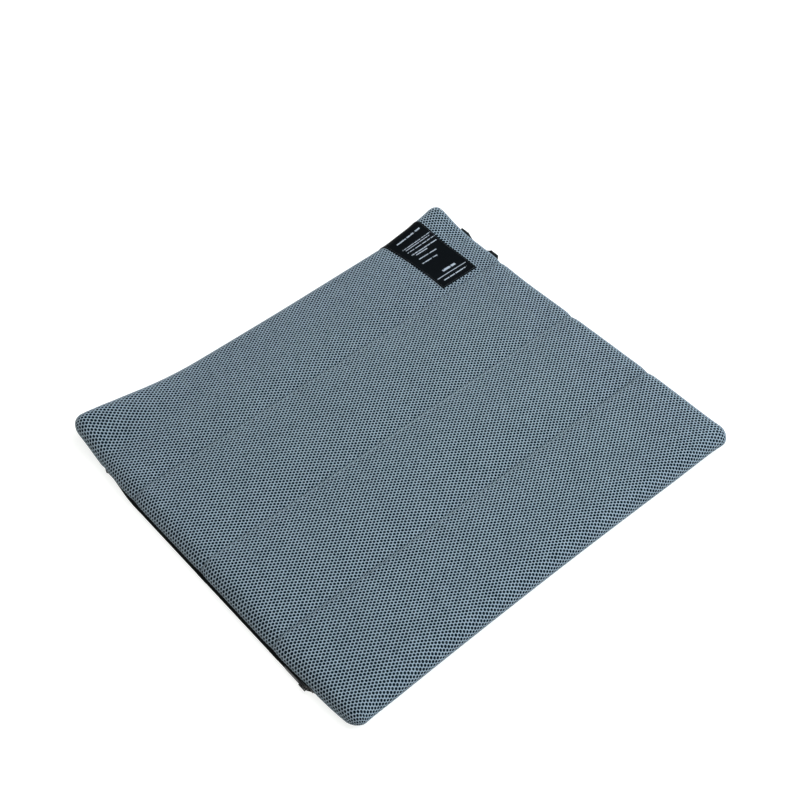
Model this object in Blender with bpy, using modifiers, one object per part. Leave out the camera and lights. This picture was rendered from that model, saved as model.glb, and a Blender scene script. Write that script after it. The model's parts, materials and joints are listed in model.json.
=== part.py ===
"""Quilted kneeling pad: four foam bars in sewn channels between a spacer-mesh cover and a non-slip base.

Metres, +Z up. The origin is on the floor under the pad's centre. X runs across the channels, from the edge
with the label (-X) to the plain edge (+X). Y runs along them, from the zip (-Y) to the hanging loop (+Y).
The pad folds at the three sewn lines, with the base inside the fold.
"""

import math

import bmesh
import bpy
from mathutils import Matrix, Vector

# Driving dimensions
PAD_WIDTH = 0.400
PAD_LENGTH = 0.450
PAD_HEIGHT = 0.0242
PANELS = 4
CORNER_RADIUS = 0.020
ROLL_RADIUS = 0.006
CLEARANCE = 0.0003

BASE_THICK = 0.0012
BASE_LEDGE = 0.001
MESH_THICK = 0.003
SEAM_GAP = 0.003
FOAM_PLAY = 0.0005

SEAM_TAPE_WIDTH = 0.0022
THREAD_THICK = 0.0007
THREAD_ROUND = 0.00017

ZIP_LENGTH = 0.300
ZIP_TAPE_THICK = 0.001
ZIP_TAPE_INSET = 0.0004
ZIP_TAPE_HEIGHT = 0.0034
ZIP_SLOT_HEIGHT = 0.0075
ZIP_SLOT_OVERRUN = 0.004
COIL_HEIGHT = 0.0036
COIL_THICK = 0.0013
STOP_LENGTH = 0.002
STOP_PROUD = 0.0003
SLIDER_LENGTH = 0.009
SLIDER_WALL = 0.001
SLIDER_ROUND = 0.0012
SLIDER_FROM_END = 0.009
BAIL_RISE = 0.0032
BAIL_LENGTH = 0.008
BAIL_WIDTH = 0.0016
BAIL_THICK = 0.0008
BAIL_SHRINK = 0.0001
TAB_LENGTH = 0.024
TAB_WIDTH = 0.0048
TAB_THICK = 0.001
TAB_EYE_LENGTH = 0.0065
TAB_EYE_WIDTH = 0.0026
TAB_BAR = 0.0008
TAB_ROUND = 0.0008
TAB_EYE_ROUND = 0.0003

LABEL_WIDTH = 0.047
LABEL_REACH = 0.093
LABEL_FROM_BACK = 0.054
LABEL_THICK = 0.0005
LABEL_FOOT = 0.004

LOOP_CENTRE_FROM_SIDE = 0.064
LOOP_SPAN = 0.040
LOOP_WIDTH = 0.006
LOOP_SAG = 0.0095
LOOP_THICK = 0.0014
LOOP_TOP = 0.019
ANCHOR_LENGTH = 0.007
ANCHOR_HEIGHT = 0.0065
ANCHOR_THICK = 0.0028
ANCHOR_ROUND = 0.0004

TINY = 1e-6

# Worked out from them
PITCH = PAD_WIDTH / PANELS
HALF_WIDTH = PAD_WIDTH / 2
HALF_LENGTH = PAD_LENGTH / 2
WALL_X = HALF_WIDTH - BASE_LEDGE
WALL_Y = HALF_LENGTH - BASE_LEDGE
COVER_FOOT = BASE_THICK + CLEARANCE
ZIP_MIDDLE = COVER_FOOT + ZIP_SLOT_HEIGHT / 2 - CLEARANCE / 2
TAPE_Y = -WALL_Y + ZIP_TAPE_INSET
COIL_Y = TAPE_Y - CLEARANCE
SLIDER_X = ZIP_LENGTH / 2 - SLIDER_FROM_END
TAB_AXIS_Y = COIL_Y - COIL_THICK - CLEARANCE - SLIDER_WALL - BAIL_RISE / 2 + BAIL_THICK / 2
SEAMS = [(i - PANELS / 2) * PITCH for i in range(1, PANELS)]

MESH_BLUE = (0.135, 0.185, 0.225)
FOAM_GREY = (0.52, 0.53, 0.55)
BASE_BLACK = (0.018, 0.019, 0.021)
THREAD_BLUE = (0.05, 0.07, 0.085)
LABEL_BLACK = (0.008, 0.009, 0.011)
METAL_BLACK = (0.03, 0.03, 0.032)


def material(name, colour, roughness, metallic=0.0):
    """One Principled material, with the same colour in the viewport."""
    made = bpy.data.materials.new(name)
    made.use_nodes = True
    shader = made.node_tree.nodes["Principled BSDF"]
    shader.inputs["Base Color"].default_value = (*colour, 1.0)
    shader.inputs["Roughness"].default_value = roughness
    shader.inputs["Metallic"].default_value = metallic
    made.diffuse_color = (*colour, 1.0)
    return made


def new_object(name, data, collection, finish=None):
    """Links data as an object of that name, with its material."""
    made = bpy.data.objects.new(name, data)
    collection.objects.link(made)
    if finish is not None:
        data.materials.append(finish)
    return made


def box_bmesh(low, high):
    """A box between two corners, as a bmesh."""
    low, high = Vector(low), Vector(high)
    bm = bmesh.new()
    bmesh.ops.create_cube(bm, size=1.0)
    size = high - low
    bmesh.ops.transform(bm, matrix=Matrix.Diagonal((*size, 1.0)), verts=bm.verts)
    bmesh.ops.translate(bm, vec=(low + high) / 2, verts=bm.verts)
    return bm


def bevel(bm, wanted, width, segments):
    """Rounds the edges that wanted() picks by their two end points."""
    edges = [e for e in bm.edges if wanted(e.verts[0].co, e.verts[1].co)]
    if edges:
        bmesh.ops.bevel(
            bm,
            geom=edges,
            offset=width,
            offset_type="OFFSET",
            segments=segments,
            profile=0.5,
            affect="EDGES",
        )


def mesh_object(name, bm, collection, finish, pivot=(0, 0, 0), smooth=math.radians(35)):
    """Turns a bmesh into an object whose origin is at the pivot."""
    bmesh.ops.translate(bm, vec=-Vector(pivot), verts=bm.verts)
    bmesh.ops.recalc_face_normals(bm, faces=bm.faces)
    data = bpy.data.meshes.new(name)
    bm.to_mesh(data)
    bm.free()
    data.shade_smooth()
    data.set_sharp_from_angle(angle=smooth)
    made = new_object(name, data, collection, finish)
    made.location = pivot
    return made


def panel_span(number):
    """The two X limits of a panel between its sewn lines, counted from 1 at the -X side."""
    left = -HALF_WIDTH + (number - 1) * PITCH
    return left, left + PITCH


def rounded_panel(number, inset, foot, top, plan_radius, top_radius):
    """A panel's block as a bmesh: round where it is the pad's own corner, narrow at a sewn line."""
    left, right = panel_span(number)
    at_seam = SEAM_GAP / 2 + max(inset - BASE_LEDGE, 0.0)
    left += inset if number == 1 else at_seam
    right -= inset if number == PANELS else at_seam
    front = -HALF_LENGTH + inset
    back = HALF_LENGTH - inset
    bm = box_bmesh((left, front, foot), (right, back, top))

    def upright(a, b):
        return abs(a.x - b.x) < TINY and abs(a.y - b.y) < TINY

    def pad_corner(a, b):
        at_left = number == 1 and abs(a.x - left) < TINY
        at_right = number == PANELS and abs(a.x - right) < TINY
        return upright(a, b) and (at_left or at_right)

    bevel(bm, pad_corner, plan_radius, 5)
    if top_radius > 0:
        bevel(bm, lambda a, b: min(a.z, b.z) > top - TINY, top_radius, 3)
    return bm


def foam_core(number, collection, finish):
    """The foam bar that fills a channel."""
    inset = BASE_LEDGE + MESH_THICK + FOAM_PLAY
    top = PAD_HEIGHT - LABEL_THICK - CLEARANCE - MESH_THICK - FOAM_PLAY
    radius = CORNER_RADIUS - MESH_THICK
    bm = rounded_panel(number, inset, COVER_FOOT, top, radius, ROLL_RADIUS - MESH_THICK + FOAM_PLAY)
    return mesh_object(f"foam_core_{number}", bm, collection, finish)


def zip_span(number, short=0.0):
    """The X limits of the zip in a panel."""
    left, right = panel_span(number)
    low = max(left + SEAM_GAP / 2, -ZIP_LENGTH / 2 + short)
    high = min(right - SEAM_GAP / 2, ZIP_LENGTH / 2 - short)
    return low, high


def zip_slot(number):
    """The space low in the front wall that the zip takes."""
    low, high = zip_span(number)
    low -= ZIP_SLOT_OVERRUN if number > 1 else CLEARANCE
    high += ZIP_SLOT_OVERRUN if number < PANELS else CLEARANCE
    return box_bmesh(
        (low, -HALF_LENGTH - ZIP_SLOT_OVERRUN, COVER_FOOT - ZIP_SLOT_OVERRUN),
        (high, TAPE_Y + MESH_THICK, COVER_FOOT + ZIP_SLOT_HEIGHT),
    )


def cutter(name, bm, collection):
    """A hidden solid that a Boolean takes away."""
    tool = mesh_object(name, bm, collection, None)
    tool.hide_render = True
    tool.display_type = "WIRE"
    return tool


def cut(target, tool):
    """Takes the tool's shape out of the target."""
    taken = target.modifiers.new(tool.name, "BOOLEAN")
    taken.operation = "DIFFERENCE"
    taken.solver = "EXACT"
    taken.object = tool


def mesh_cover(number, collection, cutters, finish):
    """The spacer-mesh top and walls of a channel, open underneath, with room for the zip."""
    top = PAD_HEIGHT - LABEL_THICK - CLEARANCE
    bm = rounded_panel(number, BASE_LEDGE, COVER_FOOT, top, CORNER_RADIUS, ROLL_RADIUS)
    cover = mesh_object(f"mesh_cover_{number}", bm, collection, finish)
    inset = BASE_LEDGE + MESH_THICK
    plan_radius = CORNER_RADIUS - MESH_THICK
    inner_roll = ROLL_RADIUS - MESH_THICK
    hollow = rounded_panel(number, inset, -COVER_FOOT, top - MESH_THICK, plan_radius, inner_roll)
    cut(cover, cutter(f"channel_cutter_{number}", hollow, cutters))
    cut(cover, cutter(f"zip_slot_cutter_{number}", zip_slot(number), cutters))
    return cover


def base_panel(number, collection, finish):
    """The non-slip base cloth of a channel."""
    bm = rounded_panel(number, 0.0, 0.0, BASE_THICK, CORNER_RADIUS + BASE_LEDGE, 0.0)
    return mesh_object(f"base_{number}", bm, collection, finish)


def seam(number, collection, tape_finish, thread_finish):
    """A sewn line: the strip of base cloth that bends, and the row of thread that holds the mesh down."""
    line = SEAMS[number - 1]
    half = SEAM_TAPE_WIDTH / 2
    reach = HALF_LENGTH - CLEARANCE
    tape = box_bmesh((line - half, -reach, 0.0), (line + half, reach, BASE_THICK))
    mesh_object(f"seam_tape_{number}", tape, collection, tape_finish, pivot=(line, 0, 0))
    half = THREAD_THICK / 2
    thread = box_bmesh((line - half, -WALL_Y, COVER_FOOT), (line + half, WALL_Y, COVER_FOOT + THREAD_THICK))
    bevel(thread, lambda a, b: abs(a.y - b.y) > PITCH and min(a.z, b.z) > COVER_FOOT + TINY, THREAD_ROUND, 1)
    mesh_object(f"stitch_row_{number}", thread, collection, thread_finish, pivot=(line, 0, 0))


def zip_run(number, collection, tape_finish, coil_finish):
    """The zip's two tapes and its closed coil along one panel."""
    low, high = zip_span(number)
    foot = ZIP_MIDDLE + CLEARANCE / 2
    upper = box_bmesh((low, TAPE_Y, foot), (high, TAPE_Y + ZIP_TAPE_THICK, foot + ZIP_TAPE_HEIGHT))
    mesh_object(f"zip_tape_upper_{number}", upper, collection, tape_finish)
    head = ZIP_MIDDLE - CLEARANCE / 2
    lower = box_bmesh((low, TAPE_Y, head - ZIP_TAPE_HEIGHT), (high, TAPE_Y + ZIP_TAPE_THICK, head))
    mesh_object(f"zip_tape_lower_{number}", lower, collection, tape_finish)
    low, high = zip_span(number, short=STOP_LENGTH + CLEARANCE)
    half = COIL_HEIGHT / 2
    coil = box_bmesh((low, COIL_Y - COIL_THICK, ZIP_MIDDLE - half), (high, COIL_Y, ZIP_MIDDLE + half))

    def front_edge(a, b):
        return abs(a.x - b.x) > STOP_LENGTH and max(a.y, b.y) < COIL_Y - TINY

    bevel(coil, front_edge, COIL_THICK / 2, 2)
    mesh_object(f"zip_coil_{number}", coil, collection, coil_finish)


def zip_stop(name, side, collection, finish):
    """The crimped stop at one end of the coil."""
    outer = side * ZIP_LENGTH / 2
    inner = outer - side * STOP_LENGTH
    half = COIL_HEIGHT / 2 + STOP_PROUD
    bm = box_bmesh(
        (min(outer, inner), COIL_Y - COIL_THICK - STOP_PROUD, ZIP_MIDDLE - half),
        (max(outer, inner), COIL_Y, ZIP_MIDDLE + half),
    )
    bevel(bm, lambda a, b: max(a.y, b.y) < COIL_Y - TINY, STOP_PROUD, 2)
    mesh_object(name, bm, collection, finish)


def joined(bodies, name, collection, finish, pivot):
    """A Boolean union of bmeshes as one object."""
    first = mesh_object(name, bodies[0], collection, finish)
    for extra in bodies[1:]:
        tool = mesh_object(name + "_tool", extra, collection, None)
        union = first.modifiers.new("join", "BOOLEAN")
        union.operation = "UNION"
        union.solver = "EXACT"
        union.object = tool
        bpy.context.view_layer.update()
        solid = bpy.data.meshes.new_from_object(first.evaluated_get(bpy.context.evaluated_depsgraph_get()))
        first.modifiers.clear()
        first.data = solid
        bpy.data.objects.remove(tool)
    first.data.name = name
    first.data.transform(Matrix.Translation(-Vector(pivot)))
    first.location = pivot
    return first


def zip_slider(collection, finish):
    """A channel that runs over the coil, with an arched bail on its front that holds the pull tab."""
    half = SLIDER_LENGTH / 2
    low_x, high_x = SLIDER_X - half, SLIDER_X + half
    coil_front = COIL_Y - COIL_THICK - CLEARANCE
    plate_front = coil_front - SLIDER_WALL
    inner = COIL_HEIGHT / 2 + CLEARANCE
    outer = inner + SLIDER_WALL
    plate = box_bmesh((low_x, plate_front, ZIP_MIDDLE - outer), (high_x, coil_front, ZIP_MIDDLE + outer))
    bevel(plate, lambda a, b: abs(a.y - b.y) > SLIDER_WALL / 2, SLIDER_ROUND, 3)
    flanges = []
    for foot in (ZIP_MIDDLE - outer, ZIP_MIDDLE + inner):
        low = (low_x + SLIDER_ROUND, coil_front - SLIDER_WALL / 2, foot)
        high = (high_x - SLIDER_ROUND, COIL_Y - CLEARANCE / 2, foot + SLIDER_WALL)
        flanges.append(box_bmesh(low, high))
    bail_front = plate_front - BAIL_RISE
    bar_low, bar_high = ZIP_MIDDLE - BAIL_WIDTH / 2, ZIP_MIDDLE + BAIL_WIDTH / 2
    arch_half = BAIL_LENGTH / 2
    bar = box_bmesh(
        (SLIDER_X - arch_half, bail_front, bar_low), (SLIDER_X + arch_half, bail_front + BAIL_THICK, bar_high)
    )
    posts = []
    for side in (-1, 1):
        post_x = SLIDER_X + side * (arch_half - BAIL_THICK / 2)
        low = (post_x - BAIL_THICK / 2, bail_front + BAIL_SHRINK, bar_low + BAIL_SHRINK)
        high = (post_x + BAIL_THICK / 2, coil_front - CLEARANCE, bar_high - BAIL_SHRINK)
        posts.append(box_bmesh(low, high))
    pivot = (SLIDER_X, COIL_Y, ZIP_MIDDLE)
    return joined([plate, *flanges, bar, *posts], "zip_slider", collection, finish, pivot)


def flat_outline(name, rings, thickness, collection, finish, matrix):
    """A flat plate from closed outlines, the first one the edge and the others holes, as a mesh object."""
    curve = bpy.data.curves.new(name, "CURVE")
    curve.dimensions = "2D"
    curve.fill_mode = "BOTH"
    curve.extrude = thickness / 2
    for ring in rings:
        spline = curve.splines.new("POLY")
        spline.points.add(len(ring) - 1)
        for point, (x, y) in zip(spline.points, ring):
            point.co = (x, y, 0.0, 1.0)
        spline.use_cyclic_u = True
    guide = new_object(name + "_outline", curve, collection)
    guide.matrix_world = matrix
    bpy.context.view_layer.update()
    solid = bpy.data.meshes.new_from_object(guide.evaluated_get(bpy.context.evaluated_depsgraph_get()))
    solid.name = name
    bm = bmesh.new()
    bm.from_mesh(solid)
    bmesh.ops.remove_doubles(bm, verts=bm.verts, dist=TINY)
    bmesh.ops.recalc_face_normals(bm, faces=bm.faces)
    bm.to_mesh(solid)
    bm.free()
    bpy.data.objects.remove(guide)
    made = new_object(name, solid, collection, finish)
    made.matrix_world = matrix
    return made


def arc(centre, radius, start, end, steps):
    """Points round an arc, in degrees."""
    return [
        (
            centre[0] + radius * math.cos(math.radians(start + (end - start) * i / steps)),
            centre[1] + radius * math.sin(math.radians(start + (end - start) * i / steps)),
        )
        for i in range(steps + 1)
    ]


def rounded_rectangle(low, high, radius, steps=3):
    """A rectangle's outline with round corners, anticlockwise."""
    return (
        arc((high[0] - radius, low[1] + radius), radius, -90, 0, steps)
        + arc((high[0] - radius, high[1] - radius), radius, 0, 90, steps)
        + arc((low[0] + radius, high[1] - radius), radius, 90, 180, steps)
        + arc((low[0] + radius, low[1] + radius), radius, 180, 270, steps)
    )


def zip_pull_tab(collection, finish):
    """The tab whose eye goes round the slider's bail. It lies back over the closed zip."""
    half = TAB_WIDTH / 2
    eye_half = TAB_EYE_WIDTH / 2
    edge = rounded_rectangle((-TAB_LENGTH, -half), (TAB_BAR / 2, half), TAB_ROUND)
    eye = rounded_rectangle((-TAB_EYE_LENGTH, -eye_half), (-TAB_BAR / 2, eye_half), TAB_EYE_ROUND, 1)
    upright = Matrix.Translation((SLIDER_X, TAB_AXIS_Y, ZIP_MIDDLE)) @ Matrix.Rotation(math.pi / 2, 4, "X")
    return flat_outline("zip_pull_tab", [edge, eye[::-1]], TAB_THICK, collection, finish, upright)


def care_label(collection, finish):
    """A satin label that lies on the mesh and folds down over the pad's edge."""
    gap = CLEARANCE
    face = PAD_HEIGHT - LABEL_THICK
    radius = ROLL_RADIUS + gap
    middle = (-WALL_X + ROLL_RADIUS, face - gap - ROLL_RADIUS)
    profile = [(-HALF_WIDTH + LABEL_REACH, face)]
    profile += arc(middle, radius, 90, 180, 6)
    profile += [(-WALL_X - gap, COVER_FOOT + LABEL_FOOT)]
    back = HALF_LENGTH - LABEL_FROM_BACK + LABEL_WIDTH / 2
    bm = bmesh.new()
    rows = [[bm.verts.new((x, back - side * LABEL_WIDTH, z)) for x, z in profile] for side in (0, 1)]
    for i in range(len(profile) - 1):
        bm.faces.new((rows[0][i], rows[0][i + 1], rows[1][i + 1], rows[1][i]))
    label = mesh_object("care_label", bm, collection, finish)
    cloth = label.modifiers.new("label thickness", "SOLIDIFY")
    cloth.thickness = LABEL_THICK
    cloth.offset = 1.0
    cloth.use_even_offset = True
    return label


def hanging_loop(collection, finish, anchor_finish):
    """The strap that hangs between two folded and sewn ends on the back wall, and those ends."""
    centre = -HALF_WIDTH + LOOP_CENTRE_FROM_SIDE
    half = LOOP_SPAN / 2 - CLEARANCE
    outer_face = WALL_Y + CLEARANCE + ANCHOR_THICK
    middle_y = outer_face - LOOP_THICK / 2
    steps = 12

    def line(s):
        """Centre line of the strap and its direction, s from -1 to 1, as a shallow parabola."""
        x = s * half
        z = -LOOP_WIDTH / 2 - LOOP_SAG * (1 - s * s)
        slope = 2 * LOOP_SAG * s / half
        return x, z, math.atan(slope)

    upper, lower = [], []
    for i in range(steps + 1):
        x, z, turn = line(-1 + 2 * i / steps)
        end = i in (0, steps)
        dx = 0.0 if end else math.sin(turn) * LOOP_WIDTH / 2
        dz = LOOP_WIDTH / 2 if end else math.cos(turn) * LOOP_WIDTH / 2
        upper.append((x - dx, z + dz))
        lower.append((x + dx, z - dz))
    facing = Matrix.Translation((centre, middle_y, LOOP_TOP)) @ Matrix.Rotation(math.pi / 2, 4, "X")
    flat_outline("hanging_loop", [lower + upper[::-1]], LOOP_THICK, collection, finish, facing)
    for name, side in (("loop_anchor_left", -1), ("loop_anchor_right", 1)):
        inner = centre + side * LOOP_SPAN / 2
        outer = inner + side * ANCHOR_LENGTH
        bm = box_bmesh(
            (min(inner, outer), WALL_Y + CLEARANCE, LOOP_TOP - ANCHOR_HEIGHT),
            (max(inner, outer), outer_face, LOOP_TOP),
        )
        bevel(bm, lambda a, b: min(a.y, b.y) > outer_face - TINY, ANCHOR_ROUND, 2)
        mesh_object(name, bm, collection, anchor_finish)


def main():
    for old in list(bpy.data.objects):
        bpy.data.objects.remove(old)
    parts = bpy.data.collections.new("kneeling_pad")
    cutters = bpy.data.collections.new("cutters")
    bpy.context.scene.collection.children.link(parts)
    bpy.context.scene.collection.children.link(cutters)

    mesh = material("spacer_mesh", MESH_BLUE, 0.85)
    foam = material("foam", FOAM_GREY, 0.95)
    base = material("non_slip_base", BASE_BLACK, 0.8)
    thread = material("thread", THREAD_BLUE, 0.8)
    webbing = material("black_webbing", BASE_BLACK, 0.75)
    coil = material("zip_coil_plastic", BASE_BLACK, 0.4)
    metal = material("black_metal", METAL_BLACK, 0.35, 1.0)
    satin = material("label_satin", LABEL_BLACK, 0.5)

    for number in range(1, PANELS + 1):
        foam_core(number, parts, foam)
        mesh_cover(number, parts, cutters, mesh)
        base_panel(number, parts, base)
        zip_run(number, parts, webbing, coil)
    for number in range(1, PANELS):
        seam(number, parts, base, thread)
    zip_stop("zip_stop_closed", 1, parts, metal)
    zip_stop("zip_stop_open", -1, parts, metal)
    zip_slider(parts, metal)
    zip_pull_tab(parts, metal)
    care_label(parts, satin)
    hanging_loop(parts, webbing, webbing)


main()
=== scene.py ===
"""The looks of the quilted kneeling pad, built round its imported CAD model.

The cloth is laid out flat first and then wrapped: a point of the flat mesh cloth, given by how far it is
along X and Y from the pad's centre, goes round the edge rolls and down the walls without stretching. Every
soft piece on the pad (mesh, foam, label) is made on that one map, so that they all follow the same swollen,
settled shape.
"""

import json
import math

import bmesh
import bpy
import numpy as np
from mathutils import Matrix, Vector
from mathutils.kdtree import KDTree


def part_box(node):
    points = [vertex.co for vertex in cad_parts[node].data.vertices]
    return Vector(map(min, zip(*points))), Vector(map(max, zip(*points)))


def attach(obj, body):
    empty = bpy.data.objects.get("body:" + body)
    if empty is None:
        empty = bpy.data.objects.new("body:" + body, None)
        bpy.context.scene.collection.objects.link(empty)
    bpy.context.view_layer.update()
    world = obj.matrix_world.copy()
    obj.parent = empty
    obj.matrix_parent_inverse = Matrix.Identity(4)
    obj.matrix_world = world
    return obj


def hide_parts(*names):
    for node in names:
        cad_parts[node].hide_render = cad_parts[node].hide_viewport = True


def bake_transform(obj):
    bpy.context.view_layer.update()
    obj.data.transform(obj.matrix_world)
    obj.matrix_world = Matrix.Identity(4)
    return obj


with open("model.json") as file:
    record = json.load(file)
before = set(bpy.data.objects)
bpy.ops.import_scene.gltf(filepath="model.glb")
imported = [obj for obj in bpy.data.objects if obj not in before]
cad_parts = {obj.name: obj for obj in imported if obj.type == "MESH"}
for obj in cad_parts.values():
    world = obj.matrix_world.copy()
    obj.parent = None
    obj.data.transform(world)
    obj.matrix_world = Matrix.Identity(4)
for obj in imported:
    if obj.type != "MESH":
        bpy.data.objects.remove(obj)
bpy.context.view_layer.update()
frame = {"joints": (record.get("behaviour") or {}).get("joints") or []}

MM = 0.001

# The frame: walls, floor, fold lines and bodies
COVER_LOW, COVER_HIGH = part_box("mesh_cover_1")
WALL_LEFT, WALL_FRONT, FOOT = COVER_LOW
WALL_BACK, COVER_TOP = COVER_HIGH.y, COVER_HIGH.z
WALL_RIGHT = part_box("mesh_cover_4")[1].x
FOLDS = [j for j in frame["joints"] if j["name"].startswith("fold_")]
SEAMS = [j["pos_m"][0] for j in FOLDS]
PANELS = len(SEAMS) + 1
ZIP_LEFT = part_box("zip_tape_upper_1")[0].x
ZIP_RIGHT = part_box("zip_tape_upper_4")[1].x
ZIP_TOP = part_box("zip_tape_upper_1")[1].z
ZIP_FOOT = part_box("zip_tape_lower_1")[0].z

# The pad's edge and quilting
PLAN_RADIUS = 12 * MM        # round corners seen from above
ROLL = 10 * MM               # the roll from the top to a wall
SEAM_ROLL = 0.9 * MM         # the same at a sewn line
SEAM_HALF_GAP = 0.1 * MM
CROWN = 1.5 * MM             # how far the middle of a channel swells above its sewn sides
CROWN_ABOVE_CAD = 0.4 * MM   # the swollen middle stands this far above the plain CAD cover
TOP = COVER_TOP + CROWN_ABOVE_CAD - CROWN

# How it lies. Each corner: its side in X and Y, how far it lifts, over how much of X and of Y, how far it
# stands out in X and in Y, and how far its tip alone does.
CORNERS = [
    (-1, -1, 10 * MM, 52 * MM, 135 * MM, 6 * MM, 0.0, 0.0),
    (-1, 1, 9 * MM, 52 * MM, 85 * MM, 1.5 * MM, 0.0, 1.5 * MM),
    (1, 1, 3.8 * MM, 170 * MM, 80 * MM, 0.8 * MM, -0.4 * MM, 1.0 * MM),
    (1, -1, 0.0, 40 * MM, 40 * MM, 0.0, -2.2 * MM, 0.0),
]
TIP_REACH = 14 * MM
PULL_LEFT = 3.8 * MM         # the side edges pull in between the corners
PULL_RIGHT = 3 * MM
PULL_REACH = 75 * MM
FRONT_BULGE = 3.8 * MM       # the front wall hangs out over the zip
FRONT_FADE = 0.45            # and fades out over this last share of the way to a side
OVERHANG_RAMP = 2.4 * MM     # it comes out over this much above the zip
OVERHANG_HEIGHT = 11 * MM    # and goes back in from this height up
BULGES = (2.0 * MM, 2.8 * MM, 1.0 * MM)   # the left, right and back walls, at their fullest
BELLY_HEIGHT = 9 * MM        # the height where a wall without a zip is fullest
FOOT_TUCK = 1.6 * MM         # the walls turn in at their foot
TUCK_HEIGHT = 9 * MM
QUILT_PULL = 1.5 * MM        # the walls are drawn in at the sewn lines
QUILT_SINK = 0.5 * MM
QUILT_REACH = 5 * MM
BACK_PULL = 3 * MM           # the back wall is drawn in between the loop and the middle
BACK_PULL_AT, BACK_PULL_REACH = -70 * MM, 38 * MM
BACK_PUSH = 1.8 * MM         # and stands out beyond the middle
BACK_PUSH_REACH = 60 * MM
# dents as x, y, radius and depth, and waves as their lengths along X and Y, start and height
DENTS = [(-97 * MM, 6 * MM, 7 * MM, 0.9 * MM), (-30 * MM, 190 * MM, 25 * MM, 0.8 * MM)]
WAVES = [(0.19, 0.31, 0.4, 0.22 * MM), (-0.11, 0.23, 2.1, 0.16 * MM), (0.27, -0.14, 4.0, 0.18 * MM)]

# The mesh's lattice: holes at the corners and the centre of this cell
CELL_X = 3.48 * MM
CELL_Y = 5.26 * MM
HOLE = 1.21 * MM             # radius of the opening
RIM = 1.43 * MM              # radius where the ridge round it starts to fall
RIM_DEPTH = 0.12 * MM        # how deep that line lies
LIP_DEPTH = 0.46 * MM        # and how deep the opening does
MESH_DEPTH = 0.95 * MM       # from the mesh's outer face to the dark pile of yarns inside it
ZIP_DEPTH = 2.2 * MM         # and behind the zip
ZIP_RAMP = 5 * MM            # the mesh's edge comes down to the base over this much past each end of the zip
TINY = 1e-9


class Panel:
    """One channel of the pad, between two sewn lines or between a sewn line and the pad's side."""

    def __init__(self, number):
        self.number = number
        self.body = f"panel_{number}"
        self.left_seam = SEAMS[number - 2] if number > 1 else None
        self.right_seam = SEAMS[number - 1] if number < PANELS else None
        self.left = WALL_LEFT if self.left_seam is None else self.left_seam + SEAM_HALF_GAP
        self.right = WALL_RIGHT if self.right_seam is None else self.right_seam - SEAM_HALF_GAP
        self.middle = (self.left + self.right) / 2
        self.swell = None

    def keep_swell(self, field, u, v):
        """Stores how far the cloth moves at each point of a grid, and the grid's start and steps."""
        self.swell = (field, u[0, 0], v[0, 0], u[1, 0] - u[0, 0], v[0, 1] - v[0, 0])

    def sides(self):
        """Its sewn sides: where each wall stands, and which way it faces."""
        if self.left_seam is not None:
            yield self.left, -1
        if self.right_seam is not None:
            yield self.right, 1

    def inner_limits(self):
        """The rectangle inside the pad's round edge, which has no end in X at a sewn line."""
        low = WALL_LEFT + PLAN_RADIUS if self.left_seam is None else -math.inf
        high = WALL_RIGHT - PLAN_RADIUS if self.right_seam is None else math.inf
        return low, high, WALL_FRONT + PLAN_RADIUS, WALL_BACK - PLAN_RADIUS

    def flat_limits(self):
        """The flat cloth's limits in X and Y: out to the foot of the walls."""
        wall = ROLL * (math.pi / 2 - 1) + (TOP - ROLL - FOOT) + CROWN
        inner = SEAM_ROLL * (math.pi / 2 - 1) + (TOP - SEAM_ROLL - FOOT) + CROWN
        left = self.left - (wall if self.left_seam is None else inner)
        right = self.right + (wall if self.right_seam is None else inner)
        return left, right, WALL_FRONT - wall, WALL_BACK + wall


def over_edge(run, start, roll):
    """How far out and how far down a length of cloth goes: flat, then round the roll, then straight down."""
    turn = np.clip(run - start, 0.0, roll * math.pi / 2) / roll
    down = np.maximum(run - start - roll * math.pi / 2, 0.0)
    return np.minimum(run, start) + roll * np.sin(turn), roll * (1 - np.cos(turn)) + down


def how_far_past(limits, u, v):
    """How far each point is past a rectangle, along X, along Y and in all."""
    low_x, high_x, low_y, high_y = limits
    past_x = np.maximum(u - high_x, 0.0) - np.maximum(low_x - u, 0.0)
    past_y = np.maximum(v - high_y, 0.0) - np.maximum(low_y - v, 0.0)
    return past_x, past_y, np.hypot(past_x, past_y)


def wrapped(panel, u, v):
    """The flat cloth's points on the plain block, before it swells and settles."""
    limits = panel.inner_limits()
    past_x, past_y, run = how_far_past(limits, u, v)
    out, drop = over_edge(run, PLAN_RADIUS - ROLL, ROLL)
    share = np.where(run > TINY, out / np.maximum(run, TINY), 1.0)
    x = np.clip(u, *limits[:2]) + past_x * share
    y = np.clip(v, *limits[2:]) + past_y * share
    for wall, way in panel.sides():
        past = np.maximum(way * (u - wall) + SEAM_ROLL, 0.0)
        out, down = over_edge(past, 0.0, SEAM_ROLL)
        x = x + way * (out - past)
        drop = drop + down
    return np.stack([x, y, TOP - drop], axis=-1)


def smooth(t):
    """A smooth step from 0 to 1."""
    t = np.clip(t, 0.0, 1.0)
    return t * t * (3 - 2 * t)


def fading(distance, reach):
    """1 at no distance, falling smoothly to 0 at this reach."""
    return 1 - smooth(distance / reach)


def hump(distance, reach):
    """1 at no distance, falling off both ways as a bell."""
    return np.exp(-((distance / reach) ** 2))


def beside_zip(x, y):
    """1 along the zip in the front wall, falling to 0 past its ends."""
    inside = smooth((x - ZIP_LEFT + ZIP_RAMP) / ZIP_RAMP) * smooth((ZIP_RIGHT + ZIP_RAMP - x) / ZIP_RAMP)
    return np.where(y < 0, inside, 0.0)


def at_side(distance, wall, rolls):
    """How far a point has come into the last few rolls before a wall, from 0 to 1."""
    return smooth((np.abs(distance) - wall + rolls * ROLL) / (rolls * ROLL))


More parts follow.
